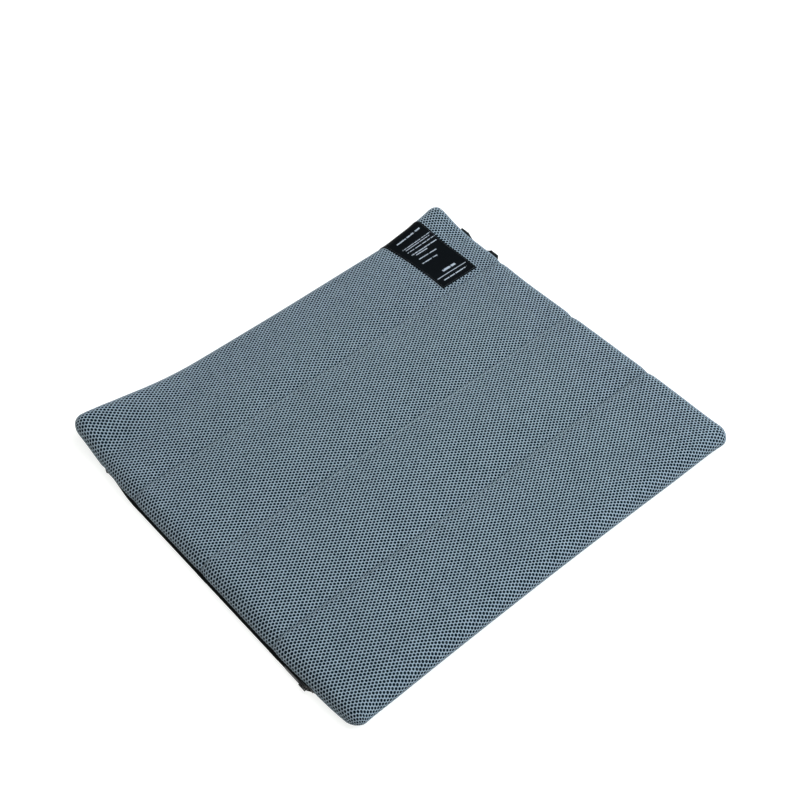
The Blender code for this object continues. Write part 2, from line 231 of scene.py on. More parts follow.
def walls_moved(x, y, z):
    """How far points move in X and Y as the sides pull in and the walls bulge, dip and turn in at the foot."""
    slack = 1 - np.clip(y / WALL_BACK, -1, 1) ** 2
    pull = PULL_LEFT * fading(x - WALL_LEFT, PULL_REACH) - PULL_RIGHT * fading(WALL_RIGHT - x, PULL_REACH)
    wall_x, wall_y = at_side(x, WALL_RIGHT, 3), at_side(y, WALL_BACK, 3)
    left_bulge, right_bulge, back_bulge = BULGES
    belly = smooth(z / BELLY_HEIGHT) * fading(z - BELLY_HEIGHT, TOP - BELLY_HEIGHT)
    overhang = smooth((z - ZIP_TOP + ZIP_LAP) / OVERHANG_RAMP)
    overhang = overhang * fading(z - OVERHANG_HEIGHT, TOP - OVERHANG_HEIGHT)
    by_zip = beside_zip(x, y)
    front = fading(np.abs(x) - (1 - FRONT_FADE) * WALL_RIGHT, FRONT_FADE * WALL_RIGHT)
    front = FRONT_BULGE * front * (by_zip * overhang + (1 - by_zip) * belly)
    dip = BACK_PULL * hump(x - BACK_PULL_AT, BACK_PULL_REACH) - BACK_PUSH * smooth(x / BACK_PUSH_REACH)
    dip = dip * smooth(y / WALL_BACK - 0.5)
    tuck = FOOT_TUCK * fading(z, TUCK_HEIGHT)
    bulge = np.where(x < 0, -left_bulge, right_bulge)
    move_x = slack * pull - np.sign(x) * tuck * wall_x + wall_x * belly * bulge
    bulge = np.where(y < 0, -front, back_bulge * (1 - (x / WALL_RIGHT) ** 2) * belly)
    move_y = wall_y * bulge - dip - np.sign(y) * tuck * wall_y * (1 - by_zip)
    return move_x, move_y


def settled(points):
    """The pad as it lies: its walls pull in and bulge, its sewn lines draw in, and its corners lift."""
    x, y, z = points[..., 0], points[..., 1], points[..., 2]
    height = np.clip(z / TOP, 0, 1)
    move_x, move_y = walls_moved(x, y, z)
    beside_seam = height * sum(hump(x - seam, QUILT_REACH) for seam in SEAMS)
    new_x = x + move_x
    new_y = y + move_y - np.sign(y) * QUILT_PULL * beside_seam * at_side(y, WALL_BACK, 2)
    new_z = z - QUILT_SINK * beside_seam
    for side_x, side_y, lift, reach_x, reach_y, far_x, far_y, tip in CORNERS:
        in_x, in_y = WALL_RIGHT - side_x * x, WALL_BACK - side_y * y
        near_x, near_y = fading(in_x, reach_x), fading(in_y, reach_y)
        tip = tip * hump(np.hypot(in_x, in_y), TIP_REACH)
        new_z = new_z + lift * near_x * near_y
        new_x = new_x + side_x * (far_x * near_x * near_y**2 + tip)
        new_y = new_y + side_y * (far_y * near_x**2 * near_y**2 + tip)
    for dent_x, dent_y, size, depth in DENTS:
        new_z = new_z - depth * height * hump(np.hypot(x - dent_x, y - dent_y), size)
    for wave_x, wave_y, start, rise in WAVES:
        new_z = new_z + rise * height * np.sin(2 * math.pi * (x / wave_x + y / wave_y) + start)
    return np.stack([new_x, new_y, new_z], axis=-1)


def at_height(x, y, z):
    """Points at one height, moved as the pad settles."""
    return settled(np.stack([x, y, np.full_like(x, z)], axis=-1))


def cubic(field, at_u, at_v):
    """A field on a regular grid, read smoothly (Catmull-Rom) at fractional rows and columns."""
    rows, columns = field.shape[:2]
    i, j = np.floor(at_u).astype(int), np.floor(at_v).astype(int)
    fu, fv = at_u - i, at_v - j

    def weights(f):
        return (
            ((-0.5 * f + 1.0) * f - 0.5) * f,
            (1.5 * f - 2.5) * f * f + 1.0,
            ((-1.5 * f + 2.0) * f + 0.5) * f,
            (0.5 * f - 0.5) * f * f,
        )

    total = np.zeros(at_u.shape + field.shape[2:])
    for a, wu in enumerate(weights(fu)):
        for b, wv in enumerate(weights(fv)):
            part = field[np.clip(i + a - 1, 0, rows - 1), np.clip(j + b - 1, 0, columns - 1)]
            total += part * (wu * wv)[..., None]
    return total


def swollen(panel, u, v):
    """The wrapped cloth, moved as the filled channel swells."""
    points = wrapped(panel, u, v)
    if panel.swell is None:
        return points
    field, low_u, low_v, step_u, step_v = panel.swell
    return points + cubic(field, (u - low_u) / step_u, (v - low_v) / step_v)


def surface(panel, u, v, depth=0.0):
    """Points of the finished cloth, sunk this far into it, and its outward normals."""
    h = 0.25 * MM
    along_u = settled(swollen(panel, u + h, v)) - settled(swollen(panel, u - h, v))
    along_v = settled(swollen(panel, u, v + h)) - settled(swollen(panel, u, v - h))
    normal = np.cross(along_u, along_v)
    normal /= np.maximum(np.linalg.norm(normal, axis=-1, keepdims=True), TINY)
    points = settled(swollen(panel, u, v))
    return points - normal * np.asarray(depth)[..., None], normal


# ---- meshes ----

def mesh_from(name, points, faces, finish=None, smooth_faces=True):
    """An object from points and a list of face arrays, each array with one face in a row."""
    faces = [np.asarray(f, np.int32) for f in faces if len(f)]
    mesh = bpy.data.meshes.new(name)
    mesh.vertices.add(len(points))
    mesh.vertices.foreach_set("co", np.asarray(points, np.float32).ravel())
    loops = np.concatenate([f.ravel() for f in faces])
    totals = np.concatenate([np.full(len(f), f.shape[1], np.int32) for f in faces])
    mesh.loops.add(len(loops))
    mesh.loops.foreach_set("vertex_index", loops)
    mesh.polygons.add(len(totals))
    mesh.polygons.foreach_set("loop_start", (np.cumsum(totals) - totals).astype(np.int32))
    mesh.polygons.foreach_set("use_smooth", np.full(len(totals), smooth_faces))
    mesh.update(calc_edges=True)
    mesh.validate()
    made = bpy.data.objects.new(name, mesh)
    bpy.context.scene.collection.objects.link(made)
    if finish is not None:
        mesh.materials.append(finish)
    return made


def keep_cloth(obj, u, v, depth):
    """Stores where each point is on the flat cloth, for the materials."""
    data = obj.data.attributes.new("cloth", "FLOAT_VECTOR", "POINT")
    values = np.stack([u, v, np.broadcast_to(depth, u.shape)], axis=-1)
    data.data.foreach_set("vector", values.astype(np.float32).ravel())


def grid_faces(rows, columns, start=0, closed=False):
    """Quads of a grid of points stored row by row. Rows run along the first direction."""
    i, j = np.meshgrid(np.arange(rows - 1), np.arange(columns if closed else columns - 1), indexing="ij")
    i, j = i.ravel() * columns, j.ravel()
    k = (j + 1) % columns
    return np.stack([i + j, i + columns + j, i + columns + k, i + k], axis=1) + start


# ---- the flat cloth's edge ----

WALL_RUN = PLAN_RADIUS - ROLL + ROLL * math.pi / 2   # along the cloth from the inner rectangle to the wall
ZIP_LAP = 0.05 * MM          # the mesh overlaps the zip's upper tape by this


def seam_drop(panel, u):
    """How far down its side wall a point of the flat cloth lies."""
    drop = np.zeros_like(u)
    for wall, way in panel.sides():
        drop += over_edge(np.maximum(way * (u - wall) + SEAM_ROLL, 0.0), 0.0, SEAM_ROLL)[1]
    return drop


def trimmed(panel, u, v, over_zip=True):
    """Pulls the flat cloth's points in to its edge at the foot of the walls, and says which it moved."""
    past_x, past_y, run = how_far_past(panel.inner_limits(), u, v)
    rise = (ZIP_TOP - ZIP_LAP - FOOT) * beside_zip(np.clip(u, WALL_LEFT, WALL_RIGHT), v)
    foot = FOOT + (rise if over_zip else 0.0)
    most = WALL_RUN + np.maximum(TOP - ROLL - foot - seam_drop(panel, u), 0.0)
    over = run > most
    share = np.where(over, most / np.maximum(run, TINY), 1.0)
    return np.where(over, u - past_x * (1 - share), u), np.where(over, v - past_y * (1 - share), v), over


SEAM_TURN = SEAM_ROLL * (math.pi / 2 - 1)
SEAM_OVERLAP = 1.2 * MM


def clipped(values, limit, way):
    """Values held back at a limit, and which of them were past it."""
    over = way * (values - limit) > 0
    return np.where(over, limit, values), over


# ---- filling the channels ----

GRID_STEP = 5 * MM
SWELL_FRAMES = 20
SWELL_PRESSURE = 4.0
SWELL_CAP = 6 * MM
HELD_HEIGHT = 1.5 * MM       # the cloth is held up to this far above its foot


def spaced(low, high, step):
    """Points from low to high, evenly, at most a step apart."""
    return np.linspace(low, high, max(2, math.ceil((high - low) / step) + 1))


def flat_grid(panel, step):
    """A grid over a channel's flat cloth, held at its edges."""
    left, right, front, back = panel.flat_limits()
    u, v = np.meshgrid(spaced(left, right, step), spaced(front, back, step), indexing="ij")
    return u, v


def closed_block(name, points, rows, columns, close=0.4 * MM):
    """A grid of points whose corners may have collapsed, as one closed body with a flat underside."""
    made = mesh_from(name, points.reshape(-1, 3), [grid_faces(rows, columns)])
    bm = bmesh.new()
    bm.from_mesh(made.data)
    bmesh.ops.remove_doubles(bm, verts=bm.verts, dist=close)
    bmesh.ops.dissolve_degenerate(bm, edges=bm.edges, dist=close / 4)
    rim = [e for e in bm.edges if e.is_boundary]
    under = bmesh.ops.contextual_create(bm, geom=rim)["faces"]
    bmesh.ops.triangulate(bm, faces=under)
    bmesh.ops.recalc_face_normals(bm, faces=bm.faces)
    if bm.calc_volume(signed=True) < 0:
        bmesh.ops.reverse_faces(bm, faces=bm.faces)
    bm.to_mesh(made.data)
    bm.free()
    made.data.shade_smooth()
    return made


def block_points(panel, u, v):
    """The plain block, with its cloth held above the base."""
    tu, tv, _ = trimmed(panel, u, v)
    points = wrapped(panel, tu, tv)
    points[..., 2] = np.maximum(points[..., 2], FOOT)
    return points


def hold_edges(panel, block):
    """The group of points held still: the cloth's foot and its sewn sides."""
    held = block.vertex_groups.new(name="held")
    for vertex in block.data.vertices:
        x, _, z = vertex.co
        if z < FOOT + HELD_HEIGHT or any(abs(x - wall) < SEAM_ROLL for wall, _ in panel.sides()):
            held.add([vertex.index], 1.0, "REPLACE")


def inflate(block):
    """Gives a block the Cloth modifier, with pressure inside it and no gravity."""
    cloth = block.modifiers.new("swell", "CLOTH")
    settings = cloth.settings
    settings.quality = 6
    settings.mass = 0.2
    settings.tension_stiffness = settings.compression_stiffness = 25
    settings.shear_stiffness = 10
    settings.bending_stiffness = 4
    settings.use_pressure = True
    settings.uniform_pressure_force = SWELL_PRESSURE
    settings.vertex_group_mass = "held"
    settings.effector_weights.gravity = 0
    cloth.point_cache.frame_start, cloth.point_cache.frame_end = 1, SWELL_FRAMES


def fill_channels(panels):
    """Cloth under pressure, all channels at once: each cover swells against its sewn sides and its foot."""
    scene = bpy.context.scene
    blocks = []
    for panel in panels:
        u, v = flat_grid(panel, GRID_STEP)
        points = block_points(panel, u, v)
        block = closed_block(f"filling_{panel.number}", points, *u.shape)
        hold_edges(panel, block)
        inflate(block)
        blocks.append((panel, block, points, u, v))
    for number in range(1, SWELL_FRAMES + 1):
        scene.frame_set(number)
    graph = bpy.context.evaluated_depsgraph_get()
    for panel, block, points, u, v in blocks:
        rest = np.array([p.co for p in block.data.vertices])
        shown = block.evaluated_get(graph).to_mesh()
        moved = np.array([p.co for p in shown.vertices]) - rest
        reach = np.linalg.norm(moved, axis=1, keepdims=True)
        moved *= np.minimum(1.0, SWELL_CAP / np.maximum(reach, TINY))
        store_swell(panel, nearest(rest, moved, points), u, v)
        bpy.data.objects.remove(block)
    scene.frame_set(1)


def nearest(places, values, points):
    """The value of the nearest place for each point of a grid."""
    tree = KDTree(len(places))
    for i, spot in enumerate(places):
        tree.insert(spot, i)
    tree.balance()
    found = np.array([tree.find(p)[1] for p in points.reshape(-1, 3)])
    return values[found].reshape(points.shape)


def store_swell(panel, field, u, v):
    """Evens the field out a little and scales it so that the channel's middle rises by CROWN."""
    for _ in range(2):
        padded = np.pad(field, ((1, 1), (1, 1), (0, 0)), mode="edge")
        beside = padded[:-2, 1:-1] + padded[2:, 1:-1] + padded[1:-1, :-2] + padded[1:-1, 2:]
        field = 0.5 * field + 0.125 * beside
    rise = np.percentile(field[..., 2], 96)
    field = field * (CROWN / max(rise, TINY))
    panel.keep_swell(field, u, v)


# ---- the spacer mesh ----

HEX_X, HEX_Y = CELL_X / 2, (CELL_Y**2 - CELL_X**2) / (4 * CELL_Y)
HEX_TIP = (CELL_X**2 + CELL_Y**2) / (4 * CELL_Y)
CELL_CORNERS = [(HEX_X, HEX_Y), (0, HEX_TIP), (-HEX_X, HEX_Y)]
CELL_CORNERS += [(-x, -y) for x, y in CELL_CORNERS]
WOBBLE, SHIFT, STRETCH = 0.04, 0.03 * MM, 0.03   # a hole's unevenness in size, place and roundness
RING = [math.radians(22.5 + 45 * k) for k in range(8)]
# a cell's points: 6 corners, then 8 on the rim, then 8 on the lip
CELL_QUADS = [(0, 1, 7, 6), (1, 2, 9, 8), (2, 3, 10, 9), (3, 4, 11, 10), (4, 5, 13, 12), (5, 0, 6, 13)]
CELL_QUADS += [(6 + k, 6 + (k + 1) % 8, 14 + (k + 1) % 8, 14 + k) for k in range(8)]
CELL_TRIS = [(1, 8, 7), (4, 12, 11)]


def lattice(low_u, high_u, low_v, high_v):
    """The centres of the cells over a stretch of flat cloth, on one lattice for the whole pad."""
    i = np.arange(math.floor(2 * low_u / CELL_X), math.ceil(2 * high_u / CELL_X) + 1)
    j = np.arange(math.floor(2 * low_v / CELL_Y), math.ceil(2 * high_v / CELL_Y) + 1)
    i, j = np.meshgrid(i, j, indexing="ij")
    even = (i + j) % 2 == 0
    return np.stack([i[even] * CELL_X / 2, j[even] * CELL_Y / 2], axis=1)


def cell_points(centres, seed):
    """The flat points of every cell, with a little of a knit's unevenness, and how deep each lies."""
    rng = np.random.default_rng(seed)
    count = len(centres)
    corners = centres[:, None, :] + np.array(CELL_CORNERS)[None]
    wobble = 1 + WOBBLE * rng.standard_normal((count, 1))
    shift = SHIFT * rng.standard_normal((count, 1, 2))
    ring = np.stack([np.cos(RING), np.sin(RING)], axis=1)[None]
    stretch = 1 + STRETCH * rng.standard_normal((count, 1, 2))
    rim = centres[:, None, :] + shift + RIM * ring * stretch
    lip = centres[:, None, :] + shift + HOLE * wobble[..., None] * ring * stretch
    depth = np.tile(np.repeat([0.0, RIM_DEPTH, LIP_DEPTH], [6, 8, 8]), (count, 1))
    return np.concatenate([corners, rim, lip], axis=1), depth


def shared(points, faces):
    """One index for the corners that neighbouring cells share."""
    keys = np.round(points / (0.02 * MM)).astype(np.int64)
    _, first, index = np.unique(keys, axis=0, return_index=True, return_inverse=True)
    index = index.reshape(-1)
    return first, [index[f] for f in faces]


def net(name, panel, centres, hold, seed, finish):
    """A stretch of the open mesh: a ridge round every cell, which rounds over into the cell's hole."""
    flat, depth = cell_points(centres, seed)
    start = np.arange(len(centres))[:, None, None] * flat.shape[1]
    quads = (start + np.array(CELL_QUADS)[None]).reshape(-1, 4)
    tris = (start + np.array(CELL_TRIS)[None]).reshape(-1, 3)
    u, v, over = hold(flat[..., 0].ravel(), flat[..., 1].ravel())
    quads = quads[~over[quads].all(axis=1)]
    tris = tris[~over[tris].all(axis=1)]
    depth = depth.ravel()
    used, (quads, tris) = shared(np.stack([u, v, depth], axis=1), [quads, tris])
    u, v, depth = u[used], v[used], depth[used]
    quads, more = sound_quads(quads)
    tris = np.concatenate([tris, more])
    tris = tris[(tris[:, 0] != tris[:, 1]) & (tris[:, 1] != tris[:, 2]) & (tris[:, 0] != tris[:, 2])]
    seen = np.zeros(len(u), bool)
    seen[quads.ravel()] = True
    seen[tris.ravel()] = True
    renumber = np.cumsum(seen) - 1
    u, v, depth = u[seen], v[seen], depth[seen]
    points, _ = surface(panel, u, v, depth)
    made = mesh_from(name, points, [renumber[quads], renumber[tris]], finish)
    keep_cloth(made, u, v, depth)
    return made


def sound_quads(quads):
    """Quads with four corners of their own, and the triangles left of those with one corner doubled."""
    same = quads == np.roll(quads, -1, axis=1)
    doubled = same.sum(axis=1)
    whole = quads[doubled == 0]
    bent = quads[doubled == 1]
    at = same[doubled == 1].argmax(axis=1)
    rows = np.arange(len(bent))
    left = np.stack([bent[rows, (at + k) % 4] for k in (1, 2, 3)], axis=1)
    return whole, left


def mesh_net(panel, finish):
    """The mesh over the top, the rolls and the outer walls of a channel."""
    left, right, front, back = panel.flat_limits()
    low = left if panel.left_seam is None else panel.left - SEAM_TURN - SEAM_OVERLAP
    high = right if panel.right_seam is None else panel.right + SEAM_TURN + SEAM_OVERLAP

    def hold(u, v):
        u, v, over = trimmed(panel, u, v)
        for _, way in panel.sides():
            u, past = clipped(u, high if way > 0 else low, way)
            over = over | past
        return u, v, over

    name = f"mesh_cover_net_{panel.number}"
    return net(name, panel, lattice(low, high, front, back), hold, panel.number, finish)


def side_net(panel, way, finish):
    """The mesh down one side of a channel, where a fold opens it to view."""
    left, right, _, _ = panel.flat_limits()
    wall, end, side = (panel.right, right, "right") if way > 0 else (panel.left, left, "left")
    top = wall + way * (SEAM_TURN + SEAM_OVERLAP)
    turn = WALL_RUN - PLAN_RADIUS
    front, back = WALL_FRONT - turn, WALL_BACK + turn

    def hold(u, v):
        v, past = clipped(v, back, 1)
        v, before = clipped(v, front, -1)
        u, above = clipped(u, top, -way)
        past_y = np.maximum(np.abs(v) - (WALL_BACK - PLAN_RADIUS), 0.0)
        drop = over_edge(past_y, PLAN_RADIUS - ROLL, ROLL)[1]
        foot = wall + way * (SEAM_TURN + np.maximum(TOP - SEAM_ROLL - FOOT - drop, 0.0))
        below = way * (u - foot) > 0
        return np.where(below, foot, u), v, past | before | above | below

    low, high = min(top, end), max(top, end)
    name = f"channel_side_net_{panel.number}_{side}"
    return net(name, panel, lattice(low, high, front, back), hold, 10 * panel.number + way, finish)


# ---- the filled channels ----

FILL_STEP = 2.5 * MM
SIDE_SINK = 0.8 * MM         # the foam stands this far behind the channel's side nets
ZIP_FADE, ZIP_COVER = 2 * MM, 4 * MM   # it comes forward over this height, up to this far above the zip


def foam_pad(panel, finish):
    """The foam bar in its inner face of mesh: a crowned closed block just under the open mesh."""
    u, v = flat_grid(panel, FILL_STEP)
    tu, tv, _ = trimmed(panel, u, v, over_zip=False)
    foot = np.clip(seam_drop(panel, tu) - SEAM_ROLL, 0, SEAM_ROLL) / SEAM_ROLL
    low = smooth((ZIP_TOP + ZIP_COVER - wrapped(panel, tu, tv)[..., 2]) / ZIP_FADE) * beside_zip(tu, tv)
    depth = MESH_DEPTH + (SIDE_SINK - MESH_DEPTH) * foot + (ZIP_DEPTH - MESH_DEPTH) * low * (1 - foot)
    points, _ = surface(panel, tu, tv, depth)
    floor = at_height(points[..., 0], points[..., 1], FOOT)
    points[..., 2] = np.maximum(points[..., 2], floor[..., 2])
    made = closed_block(f"foam_pad_{panel.number}", points, *u.shape)
    made.data.materials.append(finish)
    return made


# ---- thin sheets and threads ----

SHARP_EDGE = math.radians(50)


def slab(name, top, bottom, finish=None, u=None, v=None):
    """A closed sheet from the points of its two faces, each a grid of the same shape."""
    rows, columns = top.shape[:2]
    count = rows * columns
    index = np.arange(count).reshape(rows, columns)
    rim = np.concatenate([index[:-1, 0], index[-1, :-1], index[:0:-1, -1], index[0, :0:-1]])
    after = np.roll(rim, -1)
    faces = grid_faces(rows, columns)
    sides = np.stack([rim, rim + count, after + count, after], axis=1)
    points = np.concatenate([top.reshape(-1, 3), bottom.reshape(-1, 3)])
    made = mesh_from(name, points, [faces, faces[:, ::-1] + count, sides], finish)
    made.data.set_sharp_from_angle(angle=SHARP_EDGE)
    u, v = (points[:count, 0], points[:count, 1]) if u is None else (u.ravel(), v.ravel())
    keep_cloth(made, np.tile(u, 2), np.tile(v, 2), np.repeat([0.0, 1.0], count))
    return made


def strand_parts(paths, radius, up, sides=6):
    """Points and faces of round threads with rounded ends. Each row of paths is the line of one thread."""
    paths = np.asarray(paths, float)
    count, steps = paths.shape[:2]
    along = np.gradient(paths, axis=1)
    along /= np.linalg.norm(along, axis=-1, keepdims=True)
    aside = np.cross(along, np.broadcast_to(up, along.shape))
    aside /= np.linalg.norm(aside, axis=-1, keepdims=True)
    lift = np.cross(aside, along)
    t = np.linspace(-1, 1, steps)
    thick = radius * np.sqrt(1 - 0.85 * t**8)
    angle = np.linspace(0, 2 * math.pi, sides, endpoint=False)
    aside, lift = aside[..., None, :], lift[..., None, :]
    ring = np.cos(angle)[:, None] * aside + np.sin(angle)[:, None] * lift
    points = paths[..., None, :] + ring * thick[None, :, None, None]
    start = np.arange(count)[:, None, None] * steps * sides
    quads = (start + grid_faces(steps, sides, closed=True)[None]).reshape(-1, 4)
    first = (start + np.arange(sides)[None, None]).reshape(-1, sides)
    last = first[:, ::-1] + (steps - 1) * sides
    return points.reshape(-1, 3), quads, np.concatenate([first, last])


def strands(name, groups, finish):
    """One object of threads. Each group is (paths, radius, up)."""
    points, quads, caps, count = [], [], [], 0
    for paths, radius, up in groups:
        more, sides, ends = strand_parts(paths, radius, up)
        points.append(more)
        quads.append(sides + count)
        caps.append(ends + count)
        count += len(more)
    points = np.concatenate(points)
    made = mesh_from(name, points, [np.concatenate(quads), np.concatenate(caps)], finish)
    keep_cloth(made, points[:, 0], points[:, 1], points[:, 2])
    return made


def stitch_run(start, end, pitch, share, steps=7):
    """The stitches along a straight line, each as a row of points from its one end to the other."""
    start, end = np.asarray(start, float), np.asarray(end, float)
    length = np.linalg.norm(end - start)
    number = max(1, int(length / pitch))
    middles = (np.arange(number) + 0.5) * length / number
    offsets = np.linspace(-share / 2, share / 2, steps) * pitch
    along = (end - start) / length
    return start + (middles[:, None] + offsets[None])[..., None] * along


def arched(paths, rise, way):
    """Lifts the middle of every stitch, which dives into the cloth at its ends."""
    t = np.linspace(-1, 1, paths.shape[1])
    return paths + (rise * (1 - t**4) - rise)[None, :, None] * np.asarray(way, float)


# ---- the base ----

BASE_STEP = 4 * MM
BASE_TOP = 1.45 * MM
BASE_FOOT = 0.55 * MM
BASE_INSET = 0.5 * MM        # inside the wall
HEM = 3.8 * MM               # its front edge shows this far past the zip
HEM_DEPTH = 14 * MM
HEM_START, HEM_END = 45 * MM, 8 * MM   # and comes out over these lengths at the zip's left and right ends
BASE_SEAM = 1.3 * MM         # each panel's base stops this far from the sewn line
DOT_PITCH = 6.5 * MM
DOT_RADIUS = 1.15 * MM
DOT_SIDES = 10
DOT_EDGE = 4 * MM            # no dot's centre is nearer than this to the base's edge
# a dot's rings, from the cloth down: the share of its radius and the height
DOT_RINGS = [(1.0, BASE_FOOT + 0.05 * MM), (0.94, 0.3 * MM), (0.7, 0.12 * MM), (0.3, 0.03 * MM)]
FOLD_HALF = 6 * MM           # half the width of the cloth strip that bends under a sewn line
FOLD_TOP, FOLD_FOOT = 0.48 * MM, 0.1 * MM
BEND_HALF = 1.5 * MM         # the part of it that bends
FOLD_LINES = (3 * MM, 4.5 * MM, FOLD_HALF)   # its lines of points outside that part


def base_limits(panel):
    """The limits of a panel's base cloth in X and Y."""
    left = WALL_LEFT + BASE_INSET if panel.left_seam is None else panel.left_seam + BASE_SEAM
    right = WALL_RIGHT - BASE_INSET if panel.right_seam is None else panel.right_seam - BASE_SEAM
    return left, right, WALL_FRONT + BASE_INSET, WALL_BACK - BASE_INSET


def hemmed(x, y):
    """The base's front edge shows past the zip as a narrow hem."""
    far = HEM * smooth((x - ZIP_LEFT) / HEM_START) * smooth((ZIP_RIGHT - x) / HEM_END)
    return y - far * smooth((WALL_FRONT + HEM_DEPTH - y) / HEM_DEPTH)


def rounded_plan(panel, x, y):
    """Moves points of a panel's rectangle so that the pad's own corners are round."""
    left, right, front, back = base_limits(panel)
    radius = PLAN_RADIUS - BASE_INSET
    low_x = left + radius if panel.left_seam is None else -math.inf
    high_x = right - radius if panel.right_seam is None else math.inf
    past_x, past_y, reach = how_far_past((low_x, high_x, front + radius, back - radius), x, y)
    share = np.maximum(np.abs(past_x), np.abs(past_y)) / np.maximum(reach, TINY)
    share = np.where(reach > TINY, share, 1.0)
    return x - past_x * (1 - share), y - past_y * (1 - share)


def base_sheet(panel, finish):
    """The non-slip base cloth under one channel."""
    left, right, front, back = base_limits(panel)
    x, y = np.meshgrid(spaced(left, right, BASE_STEP), spaced(front, back, BASE_STEP), indexing="ij")
    x, y = rounded_plan(panel, x, y)
    y = hemmed(x, y)
    top, bottom = at_height(x, y, BASE_TOP), at_height(x, y, BASE_FOOT)
    return slab(f"base_cloth_{panel.number}", top, bottom, finish, x, y), (right - left, back - front + HEM)


def dot_centres(panel):
    """Where the dots of one panel's base stand: staggered rows, clear of its edges and corners."""
    left, right, front, back = base_limits(panel)
    clear = FOLD_HALF + DOT_RADIUS + 1 * MM
    low = left + DOT_EDGE if panel.left_seam is None else panel.left_seam + clear
    high = right - DOT_EDGE if panel.right_seam is None else panel.right_seam - clear
    xs = spaced(low, high, DOT_PITCH)
    ys = spaced(front + DOT_EDGE, back - DOT_EDGE, DOT_PITCH * math.sqrt(3) / 2)
    half = (xs[1] - xs[0]) / 2
    rows = [(xs + half * (j % 2), y) for j, y in enumerate(ys)]
    centres = np.array([(x, y, 0.0) for row, y in rows for x in row if x <= high + TINY])
    past_x = np.maximum(np.abs(centres[:, 0]) - WALL_RIGHT + PLAN_RADIUS, 0)
    past_y = np.maximum(np.abs(centres[:, 1]) - WALL_BACK + PLAN_RADIUS, 0)
    return centres[np.hypot(past_x, past_y) < PLAN_RADIUS - DOT_EDGE + TINY]


def grip_dots(panel, finish):
    """The rubber dots on the underside of the base."""
    centres = dot_centres(panel)
    angle = np.linspace(0, 2 * math.pi, DOT_SIDES, endpoint=False)
    x, y = DOT_RADIUS * np.cos(angle), DOT_RADIUS * np.sin(angle)
    rings = [np.stack([size * x, size * y, np.full(DOT_SIDES, z)], axis=1) for size, z in DOT_RINGS]
    dot = np.concatenate(rings)
    points = (centres[:, None] + dot[None]).reshape(-1, 3)
    start = np.arange(len(centres))[:, None, None] * len(dot)
    quads = (start + grid_faces(len(DOT_RINGS), DOT_SIDES, closed=True)[None]).reshape(-1, 4)
    lids = (start + np.arange(DOT_SIDES)[None, None]).reshape(-1, DOT_SIDES)
    tips = lids[:, ::-1] + DOT_SIDES * (len(DOT_RINGS) - 1)
    faces = [quads, np.concatenate([tips, lids])]
    return mesh_from(f"grip_dots_{panel.number}", settled(points), faces, finish)


def fold_cloth(number, finish):
    """The strip of cloth that bends under a sewn line."""
    line = SEAMS[number - 1]
    outside = np.array(FOLD_LINES)
    across = np.concatenate([-outside[::-1], np.linspace(-BEND_HALF, BEND_HALF, 9), outside])
    reach = WALL_BACK - BASE_INSET
    x, y = np.meshgrid(line + across, spaced(-reach, reach, BASE_STEP), indexing="ij")
    y = hemmed(x, y)
    top, bottom = at_height(x, y, FOLD_TOP), at_height(x, y, FOLD_FOOT)
    return slab(f"fold_cloth_{number}", top, bottom, finish, x, y), (2 * FOLD_HALF, 2 * reach + HEM)


STITCH, THREAD = 4.2 * MM, 0.3 * MM            # in the groove: pitch and radius
EDGE_STITCH, EDGE_THREAD = 3.4 * MM, 0.18 * MM # along the strip's edges
EDGE_LINE = 4.6 * MM                           # how far those rows are from the sewn line


def seam_stitches(number, finish):
    """The thread of a sewn line: down the groove, and along both edges of the strip on the underside."""
    line = SEAMS[number - 1]
    reach = WALL_BACK - 4 * MM
    up, down = np.array((0, 0, 1)), np.array((0, 0, -1))
    z = FOLD_TOP + 0.35 * MM
    paths = stitch_run((line, -reach, z), (line, reach, z), STITCH, 0.86)
    groups = [(settled(arched(paths, 0.25 * MM, up)), THREAD, up)]
    for x in (line - EDGE_LINE, line + EDGE_LINE):
        paths = stitch_run((x, -reach, 0.2 * MM), (x, reach, 0.2 * MM), EDGE_STITCH, 0.8)
        groups.append((settled(arched(paths, 0.12 * MM, down)), EDGE_THREAD, up))
    return strands(f"seam_stitches_{number}", groups, finish)


# ---- the zip ----

_, TAPE_FRONT, TAPE_GAP_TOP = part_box("zip_tape_upper_1")[0]
TAPE_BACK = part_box("zip_tape_upper_1")[1].y
TAPE_GAP_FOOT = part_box("zip_tape_lower_1")[1].z
COIL_LOW, COIL_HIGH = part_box("zip_coil_2")
COIL_MIDDLE = (COIL_LOW.z + COIL_HIGH.z) / 2
TOOTH_PITCH = 1.25 * MM
TOOTH_RADIUS = 0.36 * MM
LINK_HALF = 4 * MM           # half the length of the stretch of zip that bends at a sewn line
TAPE_RISE = 2.2 * MM         # the upper tape goes on behind the mesh
TAPE_LEAN = 0.8 * MM         # and leans in there
TAPE_INSET = 0.12 * MM       # the tapes' face is this far behind their CAD solids' face
TAPE_SEAM = 2.3 * MM         # from the gap between the tapes to each row of stitches
ZIP_STITCH, ZIP_THREAD = 2.6 * MM, 0.14 * MM   # their pitch and radius


def zip_tape(name, xs, foot, top, finish):
    """A stretch of one tape, between these heights."""
    x, z = np.meshgrid(xs, np.linspace(foot, top, 8), indexing="ij")
    lean = TAPE_LEAN * smooth((z - ZIP_TOP + ZIP_LAP) / (2 * MM))
    ripple = 0.04 * MM * np.sin(x / (3.1 * MM)) * np.sin(z / (1.1 * MM))
    front = np.stack([x, TAPE_FRONT + TAPE_INSET + lean + ripple, z], axis=-1)
    back = np.stack([x, TAPE_BACK - 0.3 * MM + lean, z], axis=-1)
    return slab(name, front, back, finish, x, z)


